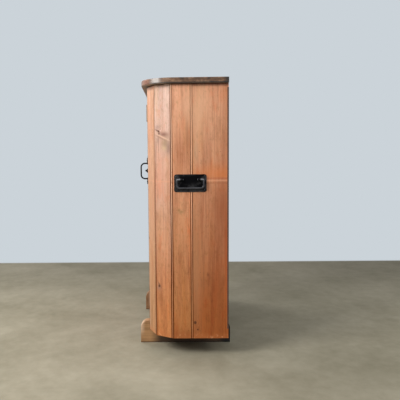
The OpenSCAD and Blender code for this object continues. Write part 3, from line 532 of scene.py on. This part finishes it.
def black_iron(name, dark, light, rough, worn, gloss=0.25, bare_highlight_above=None):
    """Blacked iron: a satin coat, rubbed lighter on its high edges by a share, which also stands as a
    painted highlight, worn, and bare and pale above a height, partly as a painted highlight.
    """
    s = Shader(name)
    cloud = s.noise(s.point, scale=35.0, detail=4.0, rough=0.6)
    pits = s.noise(s.point, scale=260.0, detail=4.0, rough=0.7)
    edge = s.add("NewGeometry").outputs["Pointiness"]
    # rubbed high edges, lighter also as a painted highlight
    rub_and_highlight = s.times(s.band(edge, 0.51, 0.56), s.band(cloud, 0.35, 0.6))
    s.colour = s.ramp(cloud, [(0.3, dark), (0.7, light)])
    s.lay(s.scaled(rub_and_highlight, worn), srgb(128, 128, 130))
    # bare metal above a height, paled also as a painted highlight at the bail's pivots
    if bare_highlight_above:
        bare = s.band(s.z, bare_highlight_above, bare_highlight_above + 0.012, 0.0, 0.8)
        rub_and_highlight = s.calc("MAXIMUM", rub_and_highlight, bare)
        s.lay(bare, srgb(150, 150, 156))
    s.lay(s.band(pits, 0.62, 0.74, 0.0, 0.3), srgb(58, 36, 26))
    roughness = s.sum(s.scaled(cloud, 0.25, rough), s.scaled(pits, 0.15, -0.05))
    return s.surface({"Metallic": s.scaled(rub_and_highlight, 0.6), "Roughness": roughness, "Specular IOR Level": gloss},
                     s.sum(cloud, s.scaled(pits, 0.6)), strength=0.4, distance=0.0008)


def nail_iron(name):
    """Rusty nail heads."""
    s = Shader(name)
    rust = s.noise(s.point, scale=900.0, detail=3.0, rough=0.6)
    s.colour = s.ramp(rust, [(0.3, srgb(60, 38, 26)), (0.7, srgb(104, 68, 44))])
    return s.surface({"Metallic": 0.4, "Roughness": s.scaled(rust, 0.3, 0.5)}, rust,
                     strength=0.5, distance=0.0004)


def dress(node, material):
    """Gives a CAD node one material."""
    mesh = NODES[node].data
    mesh.materials.clear()
    mesh.materials.append(material)


# Walls
RIGHT = (1.0, 0.0, 0.0)
REAR = (0.0, 1.0, 0.0)
UP = (0.0, 0.0, 1.0)
DOWN = (0.0, 0.0, -1.0)
SMOKED = srgb(186, 138, 90)
GREY_STAIN = srgb(150, 118, 104)
BEAD_CROWN = 0.0050
QUIRK_PLACES = (0.0004, 0.0106)
QUIRK_HALVES = (0.0034, 0.0036)
JOINT_HALF = 0.0040
JOINT_INSET = 0.0002


def joint_lines(width, beaded=True, quirk=1.0, wide=0.0, joint=1.0):
    """Dirt in a board's joint, and in the two quirks of its bead, as pine() takes it.

    joint and quirk are the shares of the two kinds of line, and wide adds to the joint's own line.
    """
    lines = [(width / 2 - JOINT_INSET - wide, JOINT_HALF + wide, joint)]
    if beaded:
        lines += [(-width / 2 + place, half, quirk) for place, half in zip(QUIRK_PLACES, QUIRK_HALVES)]
    return lines


def crown_of(width, beaded):
    """Where the top of a board's bead is rubbed pale and given a painted highlight, if it has a bead."""
    return -width / 2 + BEAD_CROWN if beaded else None


# Each board's ends in plan, and then what it has on both sides, on the right alone and on the left alone,
# in pine()'s words. Places are from the board's middle and from the ground.
WALL_BOARDS = (
    ("_rear_board", WALL_REAR, WALL_SEAM, dict(
        beaded=False, wide=-0.0010, joint=0.9, top=srgb(231, 173, 138), foot=srgb(176, 101, 47),
        top_shade=0.022, pith=(0.16, 0.05), lean=(0.016, 0.004),
        marks=[(0.014, 0.461, 0.007, 0.011, 0.6, srgb(112, 58, 34)),
               (-0.088, 0.52, 0.012, 0.30, 0.55, srgb(182, 84, 34)),
               (0.087, 0.190, 0.007, 0.008, 1.0, srgb(56, 26, 13)),
               (0.080, 1.144, 0.014, 0.055, 0.45, srgb(196, 160, 128)),
               (-0.075, 1.450, 0.030, 0.040, 0.35, srgb(214, 122, 70)),
               (-0.03, 1.03, 0.06, 0.04, 0.2, srgb(222, 128, 66)),
               (-0.088, 1.28, 0.030, 0.30, 0.45, srgb(172, 108, 70)),
               (-0.05, 0.84, 0.06, 0.10, 0.35, srgb(158, 90, 54)),
               (-0.045, 0.45, 0.035, 0.45, 0.35, srgb(146, 74, 36)),
               (0.080, 0.50, 0.035, 0.32, 0.5, srgb(190, 142, 100)),
               (-0.070, 0.85, 0.035, 0.22, 0.45, srgb(152, 78, 40)),
               (0.060, 1.35, 0.045, 0.15, 0.5, srgb(232, 184, 148))]),
     dict(wax=(0.994, 1.0), knots=[(0.087, 0.190, 0.008), (0.073, 0.150, 0.005)]),
     dict(knots=[(-0.03, 0.92, 0.012), (0.05, 0.4, 0.008)])),
    ("_middle_board", WALL_SEAM, WALL_TURN, dict(
        quirk=0.65, joint=0.85, top=srgb(246, 186, 151), foot=srgb(203, 134, 79),
        top_shade=0.016, pith=(-0.12, 0.06), lean=(0.010, 0.006),
        marks=[(-0.028, 1.22, 0.010, 0.12, 0.5, srgb(132, 82, 56)),
               (-0.030, 1.38, 0.035, 0.12, 0.45, srgb(240, 190, 156)),
               (0.0, 0.115, 0.09, 0.040, 0.5, srgb(136, 66, 22)),
               (0.01, 1.13, 0.05, 0.12, 0.5, srgb(172, 102, 64))]),
     dict(wax=(0.992, 0.15),
          marks=[(0.0108, 0.812, 0.016, 0.014, 0.55, srgb(168, 132, 88)),
                 (0.021, 0.822, 0.004, 0.005, 0.6, srgb(146, 108, 68)),
                 (0.005, 0.812, 0.006, 0.004, 0.6, srgb(150, 110, 70))]),
     dict(knots=[(0.01, 0.55, 0.008), (-0.02, 1.2, 0.01)])),
    ("_corner_rear_board", WALL_TURN, CORNER_SEAM, dict(
        wide=0.0010, joint=0.8, top=srgb(226, 193, 178), foot=srgb(208, 138, 85),
        top_shade=0.005, pith=(0.11, 0.06), lean=(-0.012, 0.0),
        marks=[(0.0545, 0.26, 0.0035, 0.22, 0.9, DIRT),
               (0.0, 1.0, 0.05, 0.12, 0.3, srgb(228, 160, 132))]),
     dict(wax=(0.990, 0.0), knots=[(0.028, 1.251, 0.006), (0.026, 1.239, 0.005), (0.034, 0.388, 0.007)],
          marks=[(0.037, 1.274, 0.014, 0.012, 0.7, srgb(170, 136, 126)),
                 (-0.004, 1.234, 0.030, 0.013, 1.0, srgb(146, 104, 88)),
                 (-0.012, 1.186, 0.022, 0.026, 0.9, srgb(172, 144, 112)),
                 (-0.034, 1.160, 0.020, 0.040, 0.95, GREY_STAIN),
                 (0.032, 1.205, 0.008, 0.018, 0.6, GREY_STAIN),
                 (-0.006, 1.160, 0.016, 0.012, 0.6, srgb(206, 176, 138)),
                 (0.036, 0.380, 0.012, 0.014, 0.6, GREY_STAIN)],
          slashes=[((0.043, 0.412), (0.023, 0.381), 0.004, 0.8, srgb(116, 78, 62)),
                   ((0.050, 1.262), (0.022, 1.248), 0.004, 1.0, srgb(104, 62, 48)),
                   ((0.050, 1.232), (-0.026, 1.196), 0.0045, 0.7, srgb(160, 122, 100)),
                   ((0.050, 1.240), (-0.034, 1.204), 0.0035, 0.9, srgb(224, 184, 158))]),
     dict(knots=[(0.01, 1.05, 0.009)])),
    ("_corner_front_board", CORNER_SEAM, CORNER_END, dict(
        quirk=0.4, top=srgb(222, 171, 140), foot=srgb(203, 154, 112),
        top_shade=0.009, pith=(-0.15, 0.05), lean=(0.006, 0.0), contrast=0.4,
        # the first mark is a painted sheen down the board's front arris
        marks=[(0.062, 0.8, 0.018, 9.0, 0.6, srgb(190, 166, 142)),
               (0.0, 0.82, 0.07, 0.2, 0.45, srgb(200, 146, 110))]),
     dict(wax=(0.990, 0.0), knots=[(0.046, 0.643, 0.005)],
          marks=[(-0.030, z, 0.0035, 0.0025, 0.8, srgb(150, 92, 62)) for z in (1.262, 1.247, 1.233)]),
     dict(knots=[(0.0, 0.5, 0.008)])))


def wall_pine(name, side, a, b, seed, beaded=True, quirk=1.0, wide=0.0, joint=1.0, **look):
    """Material for a wall board whose face runs from plan point a to b."""
    start, end, run, out = wall_face(side, a, b)
    width = (end - start).length
    return pine(name, UP, run, -out, (start + end) / 2, seed, back_colour=SMOKED, worn_foot=True,
                joints=joint_lines(width, beaded, quirk, wide, joint), crown=crown_of(width, beaded), **look)


def wall(side, name):
    """Dresses one side's four boards."""
    right_seed, left_seed = 1, 21
    first_seed = right_seed if side > 0 else left_seed
    for seed, (board, a, b, shared, right, left) in enumerate(WALL_BOARDS, first_seed):
        own = right if side > 0 else left
        look = {**shared, **own, "marks": own.get("marks", []) + shared["marks"]}
        dress(name + board, wall_pine(name + board, side, a, b, seed, **look))


for side, name in SIDES:
    wall(side, name)


# Doors
DOOR_BOARD_W = 0.1005
DOOR_GAP = 0.0034
STRIP_X = 0.02
STRIP_FACE = 0.014

random.seed(11)
for side, name in SIDES:
    for k in range(4):
        node = "%s_door_board_%d" % (name, k + 1)
        middle_x = SIDE_X - CORNER_END[0] - DOOR_GAP - (k + 0.5) * DOOR_BOARD_W
        middle = Vector((side * middle_x, FRONT_Y, 0.0))
        seed = 41 + side * 6 + k
        knots = [(random.uniform(-0.03, 0.03), random.uniform(0.25, 1.4), random.uniform(0.004, 0.011))
                 for _ in range(random.choice((0, 1, 1)))]
        warm = random.uniform(0.92, 1.03)
        top = srgb(226 * warm, 166 * warm * random.uniform(0.97, 1.03), 130 * warm)
        foot = srgb(190 * warm, 124 * warm * random.uniform(0.97, 1.03), 80 * warm)
        dress(node, pine(
            node, UP, (-side, 0.0, 0.0), REAR, middle, seed, top, foot,
            pith=(random.choice((-1, 1)) * random.uniform(0.03, 0.16), random.uniform(0.04, 0.08)),
            lean=(random.uniform(-0.02, 0.02), random.uniform(-0.006, 0.006)),
            ring=random.uniform(0.0034, 0.0045), knots=knots,
            joints=joint_lines(DOOR_BOARD_W, k > 0), crown=crown_of(DOOR_BOARD_W, k > 0),
            top_shade=0.009, back_colour=SMOKED))
    middle = Vector((side * STRIP_X, FRONT_Y - STRIP_FACE, 0.0))
    dress(name + "_meeting_strip", pine(
        name + "_meeting_strip", UP, (-side, 0.0, 0.0), REAR, middle, 60 + side,
        srgb(214, 152, 116), srgb(178, 112, 70), pith=(0.2, 0.03)))


# Frame, sheets and ironwork
BARE_TOP, BARE_FOOT = srgb(206, 166, 118), srgb(188, 146, 98)
ONE_TONE = (-9.0, 9.0)
bare_up = pine("bare_pine_upright", UP, RIGHT, REAR, Vector((0.42, 0.0, 0.0)), 70, BARE_TOP, BARE_FOOT,
               rough=0.72, pith=(0.1, 0.05))
bare_wide = pine("bare_pine_across", RIGHT, UP, REAR, Vector((0.0, 0.0, 0.8)), 72, BARE_TOP, BARE_TOP,
                 rough=0.72, pith=(0.3, 0.06), span=ONE_TONE)
bare_floor = pine("bare_pine_floor", RIGHT, REAR, DOWN, Vector((0.0, 0.05, 0.155)), 74, BARE_TOP, BARE_FOOT,
                  rough=0.75, pith=(0.02, 0.06), lean=(0.05, 0.01), span=ONE_TONE,
                  # the floor boards' dark underside: dirt, deepened by painted shade under the cabinet
                  knots=[(0.1, 0.3, 0.012), (-0.12, -0.25, 0.009)], back_colour=srgb(72, 54, 40))
bare_deep = pine("bare_pine_deep", REAR, RIGHT, UP, Vector((0.5, 0.0, 0.0)), 76, BARE_TOP, BARE_TOP,
                 rough=0.72, pith=(0.1, 0.08), span=ONE_TONE)
tin = tinned("tinned_sheet")
shelf_tin = tinned("tinned_shelf_sheet", 0.75)
nail_mat = nail_iron("nail_heads")

# node endings, and the finish of each
FINISHES = (
    (("top_front_board", "top_rear_board"), dark_top("old_dark_pine")),
    (("runner",), runner_wood("runner_pine")),
    (("shelf",), shelf_tin),
    (("lining",), tin),
    (("stile", "post"), bare_up),
    (("rail", "batten", "ledges"), bare_wide),
    (("floor_boards",), bare_floor),
    (("rib", "bearers"), bare_deep),
    (("handle_plate",),
     black_iron("black_plate", srgb(3, 3, 5), srgb(9, 8, 10), rough=0.56, worn=0.25, gloss=0.06)),
    # the bail's lighter iron is rubbing and also a painted highlight
    (("bail",),
     black_iron("rubbed_highlit_iron", srgb(44, 44, 47), srgb(76, 76, 81), rough=0.26, worn=0.8, bare_highlight_above=0.982)),
    (("leaves", "hinge_pins"),
     black_iron("brown_iron", srgb(140, 106, 80), srgb(178, 142, 110), rough=0.55, worn=0.2)),
    (("bolt", "bolt_plate", "keeper", "pull", "knob", "tongue", "screws"),
     black_iron("black_iron", srgb(10, 10, 12), srgb(22, 21, 22), rough=0.36, worn=0.5, gloss=0.16)))

for endings, material in FINISHES:
    for node in NODES:
        if node.endswith(endings):
            dress(node, material)


# Small pieces
def mesh_piece(name, bm, material, body, smooth=True):
    """Makes a piece of the mesh, which rides on a body."""
    mesh = bpy.data.meshes.new(name)
    bm.to_mesh(mesh)
    bm.free()
    for p in mesh.polygons:
        p.use_smooth = smooth
    mesh.materials.append(material)
    obj = bpy.data.objects.new(name, mesh)
    bpy.context.collection.objects.link(obj)
    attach(obj, body)


def dome(bm, place, normal, radius, height, segments=10, rings=3):
    """A low domed head on a face, with a short foot sunk in it."""
    n = Vector(normal).normalized()
    t = n.orthogonal().normalized()
    b = n.cross(t)
    top = bm.verts.new(place + n * height)
    last = None
    for r in range(1, rings + 1):
        tilt = r / rings * math.pi / 2
        loop = []
        for i in range(segments):
            w = 2 * math.pi * i / segments
            spoke = (t * math.cos(w) + b * math.sin(w)) * radius * math.sin(tilt)
            loop.append(bm.verts.new(place + spoke + n * height * math.cos(tilt)))
        for i in range(segments):
            j = (i + 1) % segments
            if last is None:
                bm.faces.new((top, loop[i], loop[j]))
            else:
                bm.faces.new((last[i], loop[i], loop[j], last[j]))
        last = loop
    sunk = n * radius * 0.4
    foot = [bm.verts.new(v.co - sunk) for v in last]
    for i in range(segments):
        j = (i + 1) % segments
        bm.faces.new((last[i], foot[i], foot[j], last[j]))
    bm.faces.new(list(reversed(foot)))


def heads(name, places, size, body, seed):
    """One piece of many nail heads, each a little off its place.

    places are (point, normal), and size is (radius, height).
    """
    rnd = random.Random(seed)
    radius, height = size
    stray = 0.002
    bm = bmesh.new()
    for place, normal in places:
        n = Vector(normal)
        t = n.orthogonal().normalized()
        shift = t * rnd.uniform(-1, 1) * stray + n.cross(t) * rnd.uniform(-1, 1) * stray
        dome(bm, Vector(place) + shift, normal, radius * rnd.uniform(0.9, 1.1), height)
    mesh_piece(name, bm, nail_mat, body)


def spaced(first, end, step):
    """Places a step apart, from first to before end."""
    return [first + step * i for i in range(math.ceil((end - first) / step))]


SHELVES = ("lower_shelf", "middle_shelf", "upper_shelf")
WALL_NAIL_ROWS = [0.145] + [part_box(n)[1].z - 0.014 for n in SHELVES] + [1.494]
LEDGE_NAIL_ROWS = (0.222, 0.273, 0.990, 1.042, 1.362, 1.412)
NAIL_SUNK = 0.0006
WALL_NAIL = (0.0021, 0.0008)
DOOR_NAIL = (0.0024, 0.0008)
LINING_TACK = (0.0024, 0.0011)
DOOR_TACK = (0.0026, 0.0011)
TACK_RIM = 0.012
# what the doors' nails and tacks keep clear of, and by how much
STRIP_ROOM_X = 0.045
LATCH_Z = 1.016
LATCH_ROOM_X = 0.13
KNOB_X = 0.062
KNOB_ROOM_X = 0.022
KNOB_ROOM_Z = 0.03
BOLT_X = -0.04
BOLT_ROOM_X = 0.02
BOLT_FOOT_Z = 1.3


def wall_nails(side):
    """Brads through the wall boards into the floor, ribs and bearers."""
    places = []
    for _, a, b, *_ in WALL_BOARDS:
        start, end, _, out = wall_face(side, a, b)
        for z in WALL_NAIL_ROWS:
            for share in (0.24, 0.80):
                places.append((start + (end - start) * share + Vector((0, 0, z)) - out * NAIL_SUNK, out))
    return places


def lining_tacks(side):
    """Tacks through the sheet's fold on the side, on the rear edge and on the post inside."""
    faces = ((-0.0010, 0.0035, 0.0, (side, 0, 0)), (0.012, -0.001, 0.03, (0, 1, 0)),
             (0.0425, 0.026, 0.015, (-side, 0, 0)))
    return [(plan(side, u, v) + Vector((0, 0, z + rise)), normal)
            for z in spaced(0.18, 1.47, 0.062) for u, v, rise, normal in faces]


def door_nails(side):
    """Nails through the door boards into the ledges, clear of the meeting strip and the knob."""
    places = []
    for k in range(4):
        for z in LEDGE_NAIL_ROWS:
            for share in (0.28, 0.76):
                p = plan(side, CORNER_END[0] + DOOR_GAP + DOOR_BOARD_W * (k + share), CORNER_END[1])
                p += Vector((0, NAIL_SUNK, z))
                by_knob = abs(p.x - KNOB_X) < KNOB_ROOM_X and abs(z - LATCH_Z) < KNOB_ROOM_Z
                if abs(p.x) > STRIP_ROOM_X and not by_knob:
                    places.append((p, (0, -1, 0)))
    return places


def door_tacks(lo, hi):
    """Tacks along the top, middle and foot of a door's sheet, clear of the latch and the bolt."""
    places = []
    for x in spaced(lo.x + 0.014, hi.x - 0.01, 0.057):
        for z in (lo.z + TACK_RIM, LATCH_Z, hi.z - TACK_RIM):
            by_latch = z == LATCH_Z and abs(x) < LATCH_ROOM_X
            by_bolt = abs(x - BOLT_X) < BOLT_ROOM_X and z > BOLT_FOOT_Z
            if not by_latch and not by_bolt:
                places.append((Vector((x, hi.y, z)), (0, 1, 0)))
    return places


for side, name in SIDES:
    heads(name + "_wall_nails", wall_nails(side), WALL_NAIL, "carcase", 5 + side)
    heads(name + "_lining_tacks", lining_tacks(side), LINING_TACK, "carcase", 15 + side)
    heads(name + "_door_nails", door_nails(side), DOOR_NAIL, name + "_door", 25 + side)
    sheet_lo, sheet_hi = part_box(name + "_door_lining")
    heads(name + "_door_tacks", door_tacks(sheet_lo, sheet_hi), DOOR_TACK, name + "_door", 35 + side)


def seam(bm, a, b, normal, width=0.011, height=0.0012):
    """A low folded seam on a sheet, from a to b, with its lap to one side."""
    a, b, n = Vector(a), Vector(b), Vector(normal)
    side = (b - a).normalized().cross(n) * width / 2
    rows = []
    for p in (a, b):
        rows.append([bm.verts.new(p - side), bm.verts.new(p - side * 0.8 + n * height),
                     bm.verts.new(p + side * 0.7 + n * height), bm.verts.new(p + side + n * height * 0.4),
                     bm.verts.new(p + side)])
    for i in range(4):
        bm.faces.new((rows[0][i], rows[1][i], rows[1][i + 1], rows[0][i + 1]))
    bm.faces.new(rows[0])
    bm.faces.new(list(reversed(rows[1])))
    bm.faces.new((rows[0][4], rows[1][4], rows[1][0], rows[0][0]))


def seams(name, lines, material, body):
    """One piece of several seams, given as (start, end, normal)."""
    bm = bmesh.new()
    for start, end, normal in lines:
        seam(bm, start, end, normal)
    bmesh.ops.recalc_face_normals(bm, faces=bm.faces)
    mesh_piece(name, bm, material, body, smooth=False)


SHELF_SEAMS_X = (-0.21, 0.20)
CEILING_SEAMS_X = (-0.26, 0.15)
DOOR_SEAMS_Z = (0.62, 1.21)

lines = []
for node in SHELVES:
    lo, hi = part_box(node)
    lines += [((x, lo.y + 0.004, hi.z), (x, hi.y - 0.006, hi.z), UP) for x in SHELF_SEAMS_X]
lo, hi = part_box("ceiling_lining")
lines += [((x, lo.y + 0.01, lo.z), (x, hi.y - 0.01, lo.z), DOWN) for x in CEILING_SEAMS_X]
seams("sheet_seams", lines, shelf_tin, "carcase")
for side, name in SIDES:
    lo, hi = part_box(name + "_door_lining")
    lines = [((lo.x + 0.002, hi.y, z), (hi.x - 0.002, hi.y, z), REAR) for z in DOOR_SEAMS_Z]
    seams(name + "_door_sheet_seams", lines, tin, name + "_door")

# Worn arrises
for node in ("right_runner", "left_runner"):
    arris = NODES[node].modifiers.new("arris", "BEVEL")
    arris.width = 0.0025
    arris.segments = 3
    arris.limit_method = "ANGLE"
    arris.angle_limit = math.radians(40)


# Studio
BACKDROP = srgb(203, 211, 217)
SKY_WHITE = (0.97, 0.97, 0.96, 1.0)
FLOOR_HALF = 40.0
ROOM_X = 1.90
ROOM_Y = 3.0
ROOM_EDGE = 0.06


def seen_rays(tree):
    """1 for what the camera sees, straight or in gloss and glass."""
    path = tree.nodes.new("ShaderNodeLightPath")
    last = path.outputs["Is Camera Ray"]
    for other in ("Is Glossy Ray", "Is Transmission Ray"):
        n = tree.nodes.new("ShaderNodeMath")
        n.operation = "MAXIMUM"
        tree.links.new(last, n.inputs[0])
        tree.links.new(path.outputs[other], n.inputs[1])
        last = n.outputs[0]
    return last


def studio_floor():
    """A pale floor that passes into the backdrop's colour where a room's wall would stand."""
    s = Shader("studio_floor")
    cloud = s.noise(s.point, scale=1.6, detail=5.0, rough=0.6)
    spots = s.noise(s.point, scale=14.0, detail=5.0, rough=0.65)
    tint = s.sum(s.scaled(cloud, 0.8), s.scaled(spots, 0.3, -0.05))
    s.colour = s.ramp(tint, [(0.3, srgb(133, 127, 107)), (0.7, srgb(169, 162, 143))])
    # painted shade: the floor darkens towards the far side, away from the lamps
    s.lay(s.band(s.x, -ROOM_X, -0.1, 0.34, 0.06), srgb(0, 0, 0))
    s.put(s.bsdf.inputs["Base Color"], s.colour)
    s.bsdf.inputs["Roughness"].default_value = 0.75
    s.bsdf.inputs["Specular IOR Level"].default_value = 0.15
    far_x = s.band(s.calc("ABSOLUTE", s.x), ROOM_X, ROOM_X + ROOM_EDGE)
    far_y = s.band(s.calc("ABSOLUTE", s.y), ROOM_Y, ROOM_Y + ROOM_EDGE)
    light = s.add("Emission")
    light.inputs["Color"].default_value = BACKDROP
    mix = s.add("MixShader")
    s.put(mix.inputs[0], s.times(s.calc("MAXIMUM", far_x, far_y), seen_rays(s.tree)))
    s.tree.links.new(s.bsdf.outputs[0], mix.inputs[1])
    s.tree.links.new(light.outputs[0], mix.inputs[2])
    s.tree.links.new(mix.outputs[0], s.out.inputs[0])
    return s.mat


def floor():
    """The studio's floor, which isn't part of the object."""
    mesh = bpy.data.meshes.new("studio_floor")
    r = FLOOR_HALF
    mesh.from_pydata([(-r, -r, 0), (r, -r, 0), (r, r, 0), (-r, r, 0)], [], [(0, 1, 2, 3)])
    mesh.materials.append(studio_floor())
    obj = bpy.data.objects.new("studio_floor", mesh)
    bpy.context.collection.objects.link(obj)
    obj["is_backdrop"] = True


def surroundings():
    """Even light, weaker from low down, and the backdrop's colour where the camera looks."""
    world = bpy.data.worlds.new("studio")
    bpy.context.scene.world = world
    world.use_nodes = True
    tree = world.node_tree
    tree.nodes.clear()
    direction = tree.nodes.new("ShaderNodeTexCoord")
    rise = tree.nodes.new("ShaderNodeSeparateXYZ")
    tree.links.new(direction.outputs["Generated"], rise.inputs[0])
    level = tree.nodes.new("ShaderNodeMapRange")
    level.interpolation_type = "SMOOTHSTEP"
    for key, value in (("From Min", 0.0), ("From Max", 0.6), ("To Min", 0.16), ("To Max", 0.62)):
        level.inputs[key].default_value = value
    tree.links.new(rise.outputs[2], level.inputs["Value"])
    light = tree.nodes.new("ShaderNodeBackground")
    light.inputs[0].default_value = SKY_WHITE
    tree.links.new(level.outputs[0], light.inputs[1])
    seen = tree.nodes.new("ShaderNodeBackground")
    seen.inputs[0].default_value = BACKDROP
    seen.inputs[1].default_value = 1.0
    mix = tree.nodes.new("ShaderNodeMixShader")
    tree.links.new(seen_rays(tree), mix.inputs[0])
    tree.links.new(light.outputs[0], mix.inputs[1])
    tree.links.new(seen.outputs[0], mix.inputs[2])
    out = tree.nodes.new("ShaderNodeOutputWorld")
    tree.links.new(mix.outputs[0], out.inputs[0])


def lamp(name, place, target, size, watts, colour):
    """A square soft lamp that faces its target."""
    data = bpy.data.lights.new(name, "AREA")
    data.shape = "SQUARE"
    data.size = size
    data.energy = watts
    data.color = colour
    obj = bpy.data.objects.new(name, data)
    bpy.context.collection.objects.link(obj)
    obj.location = place
    obj.rotation_euler = (Vector(target) - Vector(place)).to_track_quat("-Z", "Y").to_euler()


floor()
surroundings()
lamp("key", (2.2, -2.9, 2.9), (0.3, 0.0, 1.05), 1.6, 142, (1.0, 0.98, 0.95))
lamp("fill", (3.2, 2.6, 3.0), (0.2, 0.0, 0.8), 1.8, 38, (0.94, 0.97, 1.0))
lamp("far", (-2.2, -2.8, 2.8), (0.0, 0.0, 0.6), 1.6, 52, (0.98, 0.99, 1.0))


# Camera
# Its pose, in metres and radians, and its lens, in the photograph's pixels, were fitted to the photograph.
FRAME_PX = 400.0
FOCAL_PX = 552.2
AXIS_PX_X = 160.65
AXIS_PX_Y = 199.0
SENSOR_MM = 36.0
CAMERA_AT = Vector((3.575, BACK_Y - 0.3103, 1.1746))
YAW, PITCH, ROLL = -0.02, 0.0966, -0.0107


def camera():
    """The photograph's camera; its axis lies 39 px left of the frame's middle."""
    data = bpy.data.cameras.new("camera")
    data.sensor_width = SENSOR_MM
    data.lens = FOCAL_PX / FRAME_PX * SENSOR_MM
    data.shift_x = (FRAME_PX / 2 - AXIS_PX_X) / FRAME_PX
    data.shift_y = (AXIS_PX_Y - FRAME_PX / 2) / FRAME_PX
    data.clip_start = 0.05
    data.clip_end = 60.0
    ahead = Vector((-math.cos(YAW), math.sin(YAW), 0.0))
    right = Vector((math.sin(YAW), math.cos(YAW), 0.0))
    up = Vector(UP)
    look = ahead * math.cos(PITCH) - up * math.sin(PITCH)
    tilted_up = ahead * math.sin(PITCH) + up * math.cos(PITCH)
    side = right * math.cos(ROLL) + tilted_up * math.sin(ROLL)
    top = tilted_up * math.cos(ROLL) - right * math.sin(ROLL)
    m = Matrix((side, top, -look)).transposed().to_4x4()
    m.translation = CAMERA_AT
    obj = bpy.data.objects.new("camera", data)
    bpy.context.collection.objects.link(obj)
    obj.matrix_world = m
    bpy.context.scene.camera = obj


camera()
bpy.context.scene.view_settings.view_transform = "Standard"

lo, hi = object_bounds()
